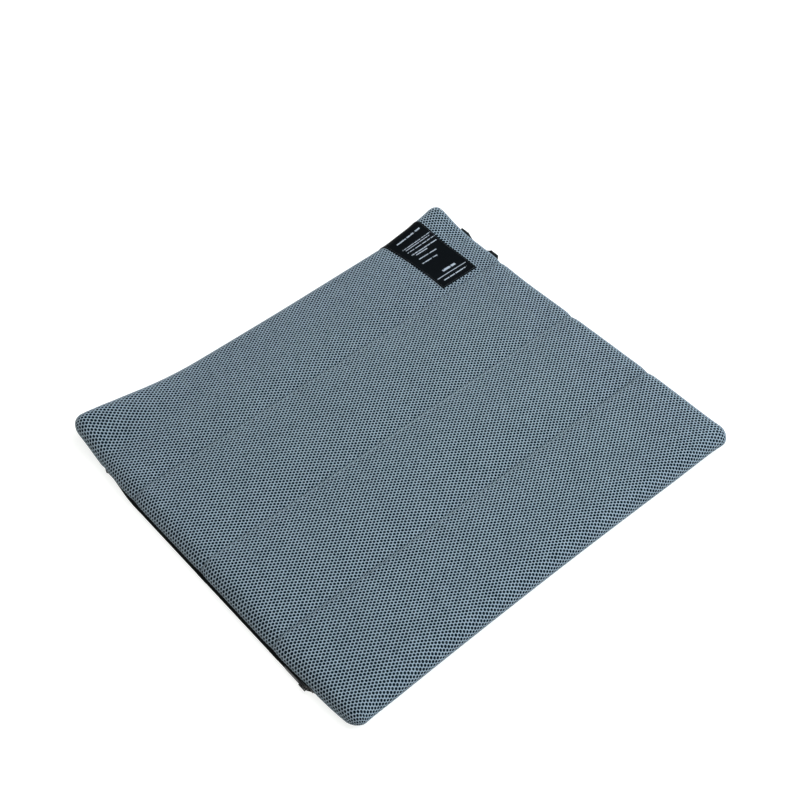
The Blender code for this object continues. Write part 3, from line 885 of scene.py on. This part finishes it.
def zip_coil(name, low, high, finish):
    """The coil's teeth, which reach across the middle from both sides by turns."""
    number = int((high - low) / TOOTH_PITCH)
    centre = low + (np.arange(number) + 0.5) * (high - low) / number
    t = np.linspace(0, 1, 8)
    groups = []
    for way, shift in ((1, 0.0), (-1, TOOTH_PITCH / 2)):
        x = centre[:, None] + shift - TOOTH_PITCH / 4 + 0.12 * MM * t[None]
        y = COIL_HIGH.y - 0.3 * MM - 0.55 * MM * np.sin(math.pi * (0.12 + 0.8 * t))
        z = COIL_MIDDLE + way * (1.75 - 2.35 * t) * MM
        groups.append((np.stack(np.broadcast_arrays(x, y, z), axis=-1), TOOTH_RADIUS, (0.9, -0.4, 0)))
    return strands(name, groups, finish)


def zip_stretch(name, low, high, tape_finish, coil_finish, thread_finish):
    """A stretch of the closed zip: two tapes, the coil's teeth and the two rows of stitches."""
    xs = spaced(low, high, 1 * MM)
    y = TAPE_FRONT + 0.05 * MM
    rows = []
    for z in (TAPE_GAP_TOP + TAPE_SEAM, TAPE_GAP_FOOT - TAPE_SEAM):
        rows.append((stitch_run((low, y, z), (high, y, z), ZIP_STITCH, 0.8), ZIP_THREAD, (0, 0, 1)))
    return [
        zip_tape(f"{name}_upper_tape", xs, TAPE_GAP_TOP, ZIP_TOP + TAPE_RISE, tape_finish),
        zip_tape(f"{name}_lower_tape", xs, ZIP_FOOT, TAPE_GAP_FOOT, tape_finish),
        zip_coil(f"{name}_coil", low, high, coil_finish),
        strands(f"{name}_thread", rows, thread_finish),
    ]


# ---- the label ----

LABEL_LOW, LABEL_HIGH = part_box("care_label")
LABEL_REST = 0.12 * MM       # it lies this far above the mesh
LABEL_THICK = 0.32 * MM
LABEL_STEP = 0.8 * MM
LABEL_INSET = 1.5 * MM       # its stitches run this far inside its edge
LABEL_STITCH, LABEL_THREAD = 2.3 * MM, 0.13 * MM   # their pitch and radius
LABEL_SKEW = 4.5 * MM        # its foot on the wall is shifted this much to the front
LABEL_TAPER = 2.6 * MM       # its inner end is narrower by this


def label_flat():
    """The label's limits on the flat cloth."""
    wall = ROLL * (math.pi / 2 - 1) + (TOP - ROLL - LABEL_LOW.z)
    return WALL_LEFT - wall, LABEL_HIGH.x, LABEL_LOW.y, LABEL_HIGH.y


def ruffled(u, v):
    """The small ups and downs of satin laid over mesh."""
    return 0.1 * MM * (np.sin(u / (4.1 * MM) + 0.7 * np.sin(v / (9 * MM))) * np.sin(v / (5.3 * MM) + 1.0))


def skewed(u, v):
    """The label's flat points as it's sewn on: a little askew, and narrower at its inner end."""
    low, high, front, back = label_flat()
    inward = (u - low) / (high - low)
    taper = (LABEL_TAPER * smooth(inward) - 1.2 * MM) * (back - v) / (back - front)
    return v + taper - LABEL_SKEW * (1 - inward) ** 2


def care_label(panel, finish):
    """The label's sheet, over the mesh and down the wall."""
    low, high, front, back = label_flat()
    u, v = np.meshgrid(spaced(low, high, LABEL_STEP), spaced(front, back, LABEL_STEP), indexing="ij")
    fray = 0.12 * MM * np.sin(v / (0.9 * MM)) * np.sin(v / (2.3 * MM))
    u = u + fray * (np.abs(u - high) < TINY)
    lie = LABEL_REST + ruffled(u, v)
    sewn = skewed(u, v)
    top, _ = surface(panel, u, sewn, -lie - LABEL_THICK)
    bottom, _ = surface(panel, u, sewn, -lie)
    return slab("satin_label", top, bottom, finish, u, v), (high - low, back - front)


def label_stitches(panel, finish):
    """The stitches along the label's edges."""
    low, high, front, back = label_flat()
    low, high, front, back = low + LABEL_INSET, high - LABEL_INSET, front + LABEL_INSET, back - LABEL_INSET
    corners = [(low, front), (high, front), (high, back), (low, back)]
    groups = []
    for start, end in zip(corners, corners[1:]):
        run = stitch_run(start, end, LABEL_STITCH, 0.8)
        u, v = run[..., 0], run[..., 1]
        t = np.linspace(-1, 1, run.shape[1])
        rise = LABEL_REST + ruffled(u, v) + LABEL_THICK + 0.1 * MM - 0.22 * MM * t**6
        points, normal = surface(panel, u, skewed(u, v), -rise)
        groups.append((points, LABEL_THREAD, normal))
    return strands("label_stitches", groups, finish)


# ---- the hanging loop ----

LOOP_LOW, LOOP_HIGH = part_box("hanging_loop")
LOOP_PIVOT = next(j for j in frame["joints"] if j["name"] == "loop_swing")["pos_m"]
LOOP_BAND = 6 * MM
LOOP_THICK = 1.1 * MM
FOLD_PRESSED = 0.7 * MM      # the folded ends are pressed this much flatter
FOLD_DROP = 1.4 * MM         # and narrowed this much at the top
TACK_HALF, TACK_THREAD = 1.6 * MM, 0.17 * MM   # half a bar tack's width, and its thread's radius
ROOT_WIDTH = 4.2 * MM        # the short run between a sewn end and the loop
ROOT_SEWN = 1.2 * MM         # how far it goes on inside the folded end
ROOT_LOOP_END = 0.9          # and where it ends on the loop, as a share of the way from the middle


def band(name, line, width_way, width, thick, finish, columns=13):
    """A flat strap along a line, with rounded edges and a ribbed face. width_way goes across it."""
    line, width_way = np.asarray(line, float), np.asarray(width_way, float)
    along = np.gradient(line, axis=0)
    along /= np.linalg.norm(along, axis=1, keepdims=True)
    face = np.cross(along, width_way)
    face /= np.linalg.norm(face, axis=1, keepdims=True)
    t = np.linspace(-1, 1, columns)
    half = 0.5 * thick * np.sqrt(1 - 0.9 * t**6)
    ribs = 0.06 * MM * np.cos(t * math.pi * (columns - 1) / 2)
    middle = line[:, None] + width_way[:, None] * (t * width / 2)[None, :, None]
    top = middle + face[:, None] * (half + ribs)[None, :, None]
    bottom = middle - face[:, None] * (half + ribs)[None, :, None]
    length = np.concatenate([[0], np.cumsum(np.linalg.norm(np.diff(line, axis=0), axis=1))])
    u, v = np.meshgrid(length, t * width / 2, indexing="ij")
    made = slab(name, top, bottom, finish, u, v)
    if (np.einsum("ijk,ik->ij", top - bottom, face) < 0).any():
        made.data.flip_normals()
    return made


def loop_line(s):
    """The middle of the strap and the way across it: a shallow bow between its ends at s = -1 and 1."""
    centre = (LOOP_LOW.x + LOOP_HIGH.x) / 2
    half = (LOOP_HIGH.x - LOOP_LOW.x) / 2
    sag = LOOP_HIGH.z - LOOP_LOW.z - LOOP_BAND
    y = LOOP_HIGH.y - FOLD_PRESSED - LOOP_THICK / 2
    z = LOOP_PIVOT[2] - LOOP_BAND / 2 - sag * (1 - s * s)
    line = np.stack([centre + s * half, np.full_like(s, y), z], axis=1)
    slope = 2 * sag * s / half
    width_way = np.stack([-slope, np.zeros_like(s), np.ones_like(s)], axis=1)
    width_way /= np.linalg.norm(width_way, axis=1, keepdims=True)
    return line, width_way


def sewn_end(node):
    """A folded end's pressed box, which side it's on, and the way along X from the loop to it."""
    low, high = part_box(node)
    high.y -= FOLD_PRESSED
    high.z -= FOLD_DROP
    side = node.split("_")[-1]
    return low, high, side, 1 if side == "right" else -1


def loop_root(node, finish):
    """The short run of strap between a sewn end and the loop."""
    low, high, side, way = sewn_end(node)
    held, across = loop_line(way * np.array([1.0, ROOT_LOOP_END]))
    inner_x = low.x if way > 0 else high.x
    sewn = (inner_x + way * ROOT_SEWN, held[0, 1], (low.z + high.z) / 2)
    t = np.linspace(0, 1, 17)

    def through(points):
        return np.stack([np.interp(t, (0.0, 0.5, 1.0), column) for column in np.transpose(points)], axis=1)

    line, width_way = through((sewn, *held)), through(((0.0, 0.0, 1.0), *across))
    root = band(f"loop_root_{side}", line, width_way, ROOT_WIDTH, 0.8 * LOOP_THICK, finish)
    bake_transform(root)


def loop_end(node, finish):
    """A folded end of the strap, sewn to the wall: two layers of webbing, one on the other."""
    low, high, _, way = sewn_end(node)
    z = (low.z + high.z) / 2
    layer = (high.y - low.y) / 2
    inner_x, outer_x = (low.x, high.x) if way > 0 else (high.x, low.x)
    xs = np.linspace(inner_x, outer_x - way * layer / 2, 6)
    middle_y, turn_radius = (low.y + high.y) / 2, layer / 2
    line = [(x, middle_y - turn_radius, z) for x in xs]
    for a in np.linspace(-math.pi / 2, math.pi / 2, 9)[1:-1]:
        line.append((xs[-1] + way * turn_radius * math.cos(a), middle_y + turn_radius * math.sin(a), z))
    line += [(x, middle_y + turn_radius, z) for x in xs[::-1]]
    up = np.tile((0.0, 0.0, 1.0), (len(line), 1))
    return band("folded_" + node, line, up, high.z - low.z, layer * 0.92, finish)


def bar_tack(node, finish):
    """The dense zigzag that sews a folded end down."""
    low, high, side, _ = sewn_end(node)
    x, face = (low.x + high.x) / 2, high.y + 0.08 * MM
    zs = np.linspace(low.z + 1 * MM, high.z - 1 * MM, 13)
    t = np.linspace(-1, 1, 5)
    paths = [[(x + TACK_HALF * a, face - 0.1 * MM * a**4, z + 0.14 * MM * a) for a in t] for z in zs]
    return strands(f"bar_tack_{side}", [(paths, TACK_THREAD, (0, 1, 0))], finish)


# ---- materials ----

def start_material(name, roughness, **sockets):
    """A Principled material with its uniform values on the shader's own sockets."""
    made = bpy.data.materials.new(name)
    made.use_nodes = True
    shader = made.node_tree.nodes["Principled BSDF"]
    shader.inputs["Roughness"].default_value = roughness
    for socket, value in sockets.items():
        shader.inputs[socket.replace("_", " ")].default_value = value
    return made, made.node_tree, shader


def add(tree, kind, inputs=None, **settings):
    """A node of that kind. Inputs are numbers, colours or other nodes' sockets, by name or place."""
    made = tree.nodes.new("ShaderNode" + kind)
    for name, value in settings.items():
        setattr(made, name, value)
    for name, value in (inputs or {}).items():
        socket = made.inputs[name]
        if isinstance(value, bpy.types.NodeSocket):
            tree.links.new(value, socket)
        else:
            socket.default_value = value
    return made


def scaled(tree, vector, scale):
    """A vector socket, stretched along each axis."""
    return add(tree, "VectorMath", {0: vector, 1: scale}, operation="MULTIPLY").outputs[0]


def noise(tree, vector, scale, detail=2.0, roughness=0.5):
    """Soft noise, from 0 to 1."""
    inputs = {"Vector": vector, "Scale": scale, "Detail": detail, "Roughness": roughness}
    return add(tree, "TexNoise", inputs).outputs[0]


def ramp(tree, value, *stops):
    """A ramp of greys: each stop is its place and its grey."""
    made = add(tree, "ValToRGB", {0: value})
    elements = made.color_ramp.elements
    while len(elements) < len(stops):
        elements.new(0.5)
    for element, (at, grey) in zip(elements, stops):
        element.position = at
        element.color = (grey, grey, grey, 1.0)
    return made.outputs[0]


def math_node(tree, operation, a, b=0.0):
    """One sum of two values, or of one."""
    return add(tree, "Math", {0: a, 1: b}, operation=operation).outputs[0]


def mapped(tree, value, low, high, to_low, to_high):
    """A value's range stretched to another."""
    return add(tree, "MapRange", {0: value, 1: low, 2: high, 3: to_low, 4: to_high}).outputs[0]


def mixed(tree, share, a, b, blend="MIX"):
    """Two colours mixed. Each is a colour or a socket."""
    a, b = ((*value, 1.0) if isinstance(value, tuple) else value for value in (a, b))
    return add(tree, "Mix", {0: share, 6: a, 7: b}, data_type="RGBA", blend_type=blend).outputs[2]


def painted(tree, shader, share, shade, colour):
    """The shader's colour, mixed from a shade and a colour."""
    tree.links.new(mixed(tree, share, shade, colour), shader.inputs["Base Color"])


def attribute(tree, name):
    """The values stored at each point under this name."""
    return add(tree, "Attribute", attribute_name=name).outputs["Vector"]


def object_place(tree):
    """Where each point is in its own object."""
    return add(tree, "TexCoord").outputs["Object"]


def axes(tree, vector):
    """A vector's three numbers."""
    return add(tree, "SeparateXYZ", {0: vector}).outputs


def bumped(tree, shader, height, strength, distance):
    """The shader's normal, tilted by a height field."""
    made = add(tree, "Bump", {"Height": height, "Strength": strength, "Distance": distance})
    tree.links.new(made.outputs[0], shader.inputs["Normal"])


YARN = (0.405, 0.475, 0.508)
YARN_SHADE = (0.165, 0.236, 0.294)
LIP_SHADE = 0.08             # painted shade: how much light is left on the yarn down in a hole
SEAM_SHADE = 0.84            # and beside a sewn line: painted shade there too
HOLE_DARK = (0.0015, 0.0065, 0.010)
HOLE_PILE = (0.005, 0.022, 0.034)


def yarn_material():
    """Dull polyester yarn: fine filaments along the knit, lighter on the ridges, with painted shade that
    darkens it down in the holes and beside the sewn lines.
    """
    made, tree, shader = start_material("spacer_mesh_yarn", 0.82, Sheen_Weight=0.05, Specular_IOR_Level=0.25)
    cloth = attribute(tree, "cloth")
    filaments = noise(tree, scaled(tree, cloth, (5200, 1500, 0)), 1.0, 3.0)
    patches = noise(tree, scaled(tree, cloth, (28, 28, 0)), 1.0, 2.0)
    colour = mixed(tree, ramp(tree, filaments, (0.3, 0.0), (0.7, 1.0)), YARN_SHADE, YARN)
    colour = mixed(tree, 1.0, colour, ramp(tree, patches, (0.25, 0.96), (0.75, 1.03)), "MULTIPLY")
    along_x, _, depth = axes(tree, cloth)
    # painted shade: the yarn darkens with depth down each hole's lip
    colour = mixed(tree, 1.0, colour, mapped(tree, depth, 0.0, LIP_DEPTH, 1.0, LIP_SHADE), "MULTIPLY")
    # painted shade in a narrow band along each sewn line's groove
    for seam in SEAMS:
        away = math_node(tree, "ABSOLUTE", math_node(tree, "SUBTRACT", along_x, seam))
        shade = mapped(tree, away, 0.4 * MM, 2.4 * MM, SEAM_SHADE, 1.0)
        colour = mixed(tree, 1.0, colour, shade, "MULTIPLY")
    tree.links.new(colour, shader.inputs["Base Color"])
    bumped(tree, shader, filaments, 0.35, 0.00012)
    return made


def pile_material():
    """The mesh's inner face, seen through the holes: dark, with lighter tips of the pile yarns."""
    made, tree, shader = start_material("spacer_mesh_inner", 0.95, Specular_IOR_Level=0.1)
    where = object_place(tree)
    tips = add(tree, "TexVoronoi", {"Vector": where, "Scale": 750.0}).outputs["Distance"]
    lit_tips = ramp(tree, tips, (0.1, 1.0), (0.45, 0.0))
    lit_knit = ramp(tree, noise(tree, where, 420.0, 3.0), (0.35, 0.0), (0.7, 1.0))
    painted(tree, shader, math_node(tree, "MULTIPLY", lit_tips, lit_knit), HOLE_DARK, HOLE_PILE)
    bumped(tree, shader, tips, 0.5, 0.0004)
    return made


def grained_material(name, colour, shade, scale, roughness, on_cloth=False):
    """A surface of one colour with a finer shade through it, such as moulded rubber or nylon."""
    made, tree, shader = start_material(name, roughness)
    where = attribute(tree, "cloth") if on_cloth else object_place(tree)
    grain = noise(tree, where, scale, 4.0, 0.6)
    painted(tree, shader, ramp(tree, grain, (0.3, 0.0), (0.7, 1.0)), shade, colour)
    rough = mapped(tree, grain, 0.2, 0.8, roughness - 0.08, roughness + 0.1)
    tree.links.new(rough, shader.inputs["Roughness"])
    bumped(tree, shader, grain, 0.2, 0.0002)
    return made


def woven_material(name, colour, shade, pitch_u, pitch_v, roughness):
    """Cloth whose yarns run both ways over and under each other, in the flat cloth's own coordinates."""
    made, tree, shader = start_material(name, roughness)
    cloth = attribute(tree, "cloth")
    turn_u, turn_v, _ = axes(tree, scaled(tree, cloth, (math.pi / pitch_u, math.pi / pitch_v, 0)))
    over = math_node(tree, "MULTIPLY", math_node(tree, "SINE", turn_u), math_node(tree, "SINE", turn_v))
    lift = mapped(tree, over, -1.0, 1.0, 0.0, 1.0)
    fibres = noise(tree, scaled(tree, cloth, (4000, 9000, 0)), 1.0, 3.0)
    share = math_node(tree, "MULTIPLY", lift, math_node(tree, "ADD", fibres, 0.35))
    painted(tree, shader, share, shade, colour)
    bumped(tree, shader, share, 0.6, 0.00025)
    return made


def thread_material(name, colour, shade):
    """Twisted sewing thread: its plies wind round it."""
    made, tree, shader = start_material(name, 0.6, Sheen_Weight=0.2)
    inputs = {"Vector": attribute(tree, "cloth"), "Scale": 900.0, "Distortion": 1.0}
    plies = add(tree, "TexWave", inputs, bands_direction="DIAGONAL").outputs[0]
    painted(tree, shader, plies, shade, colour)
    bumped(tree, shader, plies, 0.5, 0.0001)
    return made


# The label's plain bars: how far each is from the label's inner end, its middle along Y from the label's own,
# its length and its thickness, in mm. The last number is 1 where it is broken into words.
LABEL_BARS = [
    (78.5, 2.0, 31, 1.7, 1), (67.5, 3.2, 38, 0.8, 1), (65.0, 2.2, 32, 0.8, 1), (61.2, 3.6, 37, 0.9, 1),
    (56.0, 2.8, 34, 1.1, 1), (53.3, -3.1, 15, 1.1, 0), (46.5, -1.9, 25, 1.2, 1), (39.4, -4.9, 20, 1.2, 1),
    (18.1, 1.4, 17, 2.6, 1), (12.7, 0.2, 39, 0.8, 0), (7.6, 0.3, 32, 1.2, 1),
]


def near_value(tree, value, middle, reach):
    """1 within a reach of a middle value, and 0 outside it."""
    return add(tree, "Math", {0: value, 1: middle, 2: reach}, operation="COMPARE").outputs[0]


def satin_material(inner, front, back):
    """Black satin with plain pale bars in place of print, placed from the label's inner end and its sides."""
    made, tree, shader = start_material("label_satin", 0.6, Specular_IOR_Level=0.03)
    cloth = attribute(tree, "cloth")
    u, v, _ = axes(tree, cloth)
    total = None
    words = noise(tree, scaled(tree, cloth, (160, 420, 0)), 1.0, 1.0)
    solid = math_node(tree, "GREATER_THAN", words, 0.4)
    for from_end, shift, length, thick, broken in LABEL_BARS:
        across = near_value(tree, u, inner - from_end * MM, thick * MM / 2)
        along = near_value(tree, v, (front + back) / 2 + shift * MM, length * MM / 2)
        bar = math_node(tree, "MULTIPLY", across, along)
        if broken:
            bar = math_node(tree, "MULTIPLY", bar, solid)
        total = bar if total is None else math_node(tree, "MAXIMUM", total, bar)
    inputs = {"Vector": cloth, "Scale": 800.0, "Distortion": 0.6, "Detail": 2.0}
    weave = add(tree, "TexWave", inputs, bands_direction="Y").outputs[0]
    ground = mixed(tree, weave, (0.0012, 0.0019, 0.0024), (0.0036, 0.0050, 0.0062))
    bars = mixed(tree, weave, (0.27, 0.30, 0.34), (0.42, 0.46, 0.50))
    painted(tree, shader, total, ground, bars)
    bumped(tree, shader, weave, 0.25, 0.00008)
    return made


def metal_material():
    """Black painted zinc, a little worn."""
    made, tree, shader = start_material("black_metal", 0.45, Metallic=0.3, Specular_IOR_Level=0.35)
    where = object_place(tree)
    patches = noise(tree, where, 300.0, 5.0, 0.65)
    fine = noise(tree, where, 2600.0, 3.0)
    worn = ramp(tree, patches, (0.62, 0.0), (0.72, 1.0))
    painted(tree, shader, worn, (0.012, 0.0125, 0.0135), (0.07, 0.07, 0.072))
    tree.links.new(mapped(tree, fine, 0.3, 0.7, 0.38, 0.58), shader.inputs["Roughness"])
    bumped(tree, shader, fine, 0.12, 0.0001)
    return made


# ---- studio ----

CAMERA_AZIMUTH = math.radians(49.3)
CAMERA_ELEVATION = math.radians(49.8)
CAMERA_ROLL = math.radians(-0.37)
CAMERA_DISTANCE = 1.408
CAMERA_AIM = Vector((-0.0406, 0.0342, 0.0))
LENS_MM, SENSOR_MM = 66.7, 36.0
FLOOR_REACH = 4.0
# name, place, size, power in watts and colour
LIGHTS = [
    ("key", (1.3, 1.3, 1.8), 1.4, 50, (0.8, 1.0, 1.2)),
    ("fill", (-1.6, 0.5, 2.0), 2.0, 4, (1.0, 1.0, 1.0)),
    ("overhead", (0.15, 0.12, 1.15), 0.9, 11.3, (1.0, 1.0, 1.0)),
]


def pale_floor():
    """A wide floor that glows a little, so that it stays nearly white."""
    corners = [(x * FLOOR_REACH, y * FLOOR_REACH, 0) for x, y in ((-1, -1), (1, -1), (1, 1), (-1, 1))]
    floor = mesh_from("floor", np.array(corners), [[(0, 1, 2, 3)]])
    made, _, shader = start_material("floor_paint", 0.7, Emission_Strength=0.84)
    shader.inputs["Base Color"].default_value = (0.3, 0.3, 0.3, 1)
    shader.inputs["Emission Color"].default_value = (0.99, 1.0, 0.98, 1)
    floor.data.materials.append(made)


def soft_lights(collection):
    """A dim sky and three area lights, each of which faces the pad's centre."""
    world = bpy.data.worlds.new("studio")
    bpy.context.scene.world = world
    world.use_nodes = True
    background = world.node_tree.nodes["Background"]
    background.inputs[0].default_value = (0.96, 0.98, 1.0, 1)
    background.inputs[1].default_value = 0.24
    for name, spot, size, power, tint in LIGHTS:
        lamp = bpy.data.lights.new(name, "AREA")
        lamp.energy, lamp.size, lamp.color = power, size, tint
        shown = bpy.data.objects.new(name, lamp)
        collection.objects.link(shown)
        shown.location = spot
        shown.rotation_euler = (-Vector(spot)).to_track_quat("-Z", "Y").to_euler()


def studio():
    """A pale floor, soft lights and the camera."""
    scene = bpy.context.scene
    pale_floor()
    soft_lights(scene.collection)
    lens = bpy.data.cameras.new("camera")
    lens.lens, lens.sensor_width = LENS_MM, SENSOR_MM
    camera = bpy.data.objects.new("camera", lens)
    scene.collection.objects.link(camera)
    level = math.cos(CAMERA_ELEVATION)
    sideways, forward = math.sin(CAMERA_AZIMUTH) * level, math.cos(CAMERA_AZIMUTH) * level
    back = Vector((sideways, -forward, math.sin(CAMERA_ELEVATION)))
    turn = (-back).to_track_quat("-Z", "Y").to_matrix().to_4x4() @ Matrix.Rotation(CAMERA_ROLL, 4, "Z")
    camera.matrix_world = Matrix.Translation(CAMERA_AIM + back * CAMERA_DISTANCE) @ turn
    scene.camera = camera
    scene.view_settings.view_transform = "Standard"


# ---- the whole object ----

def dressed(piece, nodes):
    """A piece that may stand for CAD nodes, which are hidden."""
    if nodes:
        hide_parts(*nodes)
    return piece


def place(piece, body, slot, *nodes):
    """A piece that rides on one body."""
    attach(piece, body)
    return dressed(piece, nodes)


def bend(piece, number, slot, reach, *nodes):
    """A piece at a sewn line, with its transform baked into its mesh."""
    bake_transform(piece)
    return dressed(piece, nodes)


def soft_parts(panels):
    """The mesh, the foam and the base."""
    yarn, pile = yarn_material(), pile_material()
    black, shade = (0.020, 0.021, 0.023), (0.006, 0.0065, 0.007)
    knit = woven_material("base_knit", black, shade, 0.5 * MM, 0.35 * MM, 0.85)
    rubber = grained_material("grip_rubber", (0.042, 0.043, 0.045), (0.026, 0.026, 0.028), 900.0, 0.55)
    thread = thread_material("seam_thread", (0.075, 0.1, 0.12), (0.03, 0.042, 0.05))
    for panel in panels:
        number = panel.number
        cover = place(mesh_net(panel, yarn), panel.body, "spacer_mesh", f"mesh_cover_{number}")
        for _, way in panel.sides():
            place(side_net(panel, way, yarn), panel.body, "spacer_mesh")
        place(foam_pad(panel, pile), panel.body, "foam", f"foam_core_{number}")
        sheet, flat = base_sheet(panel, knit)
        place(sheet, panel.body, "non_slip_base", f"base_{number}")
        dots = place(grip_dots(panel, rubber), panel.body, "non_slip_base")
    for number in range(1, PANELS):
        strip, flat = fold_cloth(number, knit)
        bend(strip, number, "non_slip_base", BEND_HALF, f"seam_tape_{number}")
        stitches = bend(seam_stitches(number, thread), number, "thread", BEND_HALF, f"stitch_row_{number}")


ZIP_SLOTS = ("black_webbing", "black_webbing", "zip_coil", "thread")   # two tapes, coil and stitches
# how far each metal part's edges are rounded, in mm
METAL_EDGES = {"zip_slider": 0.25, "zip_pull_tab": 0.22, "zip_stop_closed": 0.12, "zip_stop_open": 0.12}


def metal_parts():
    """The CAD's slider, tab and stops, with soft edges and painted black."""
    metal = metal_material()
    for name, width in METAL_EDGES.items():
        node = bpy.data.objects[name]
        rounded = node.modifiers.new("rounded", "BEVEL")
        rounded.width = width * MM
        rounded.segments = 3
        rounded.limit_method = "ANGLE"
        rounded.angle_limit = math.radians(40)
        for slot in node.material_slots:
            slot.material = metal


def zip_parts(panels):
    """The zip along the front wall, with its slider, tab and stops."""
    tape = woven_material("zip_tape", (0.017, 0.018, 0.020), (0.004, 0.0045, 0.005), 0.42 * MM, 0.3 * MM, 0.8)
    nylon_black, nylon_shade = (0.02, 0.02, 0.022), (0.012, 0.012, 0.013)
    nylon = grained_material("zip_coil", nylon_black, nylon_shade, 1500.0, 0.38, on_cloth=True)
    thread = thread_material("zip_thread", (0.05, 0.053, 0.058), (0.018, 0.02, 0.022))
    for panel in panels:
        low = ZIP_LEFT if panel.left_seam is None else panel.left_seam + LINK_HALF
        high = ZIP_RIGHT if panel.right_seam is None else panel.right_seam - LINK_HALF
        number = panel.number
        pieces = zip_stretch(f"zip_{number}", low, high, tape, nylon, thread)
        stands_for = ([f"zip_tape_upper_{number}"], [f"zip_tape_lower_{number}"], [f"zip_coil_{number}"], [])
        for piece, slot, nodes in zip(pieces, ZIP_SLOTS, stands_for):
            place(piece, panel.body, slot, *nodes)
    for number, line in enumerate(SEAMS, 1):
        pieces = zip_stretch(f"zip_link_{number}", line - LINK_HALF, line + LINK_HALF, tape, nylon, thread)
        for piece, slot in zip(pieces, ZIP_SLOTS):
            bend(piece, number, slot, 0.9 * LINK_HALF)
    metal_parts()


def label_and_loop(panel):
    """The label on the left panel, and the hanging loop with its two sewn ends."""
    _, *print_limits = label_flat()
    satin = satin_material(*print_limits)
    thread = thread_material("label_thread", (0.03, 0.033, 0.037), (0.01, 0.011, 0.013))
    black, shade = (0.02, 0.021, 0.024), (0.005, 0.0055, 0.006)
    webbing = woven_material("loop_webbing", black, shade, 0.7 * MM, 0.5 * MM, 0.7)
    label, flat = care_label(panel, satin)
    place(label, panel.body, "label_satin", "care_label")
    stitches = place(label_stitches(panel, thread), panel.body, "thread")
    strap = band("loop_webbing", *loop_line(np.linspace(-1, 1, 61)), LOOP_BAND, LOOP_THICK, webbing)
    place(strap, "hanging_loop", "black_webbing", "hanging_loop")
    for node in ("loop_anchor_left", "loop_anchor_right"):
        loop_root(node, webbing)
        place(loop_end(node, webbing), panel.body, "black_webbing", node)
        place(bar_tack(node, thread), panel.body, "thread")


def main():
    """Builds the studio and every piece."""
    studio()
    panels = [Panel(number) for number in range(1, PANELS + 1)]
    fill_channels(panels)
    soft_parts(panels)
    zip_parts(panels)
    label_and_loop(panels[0])


main()
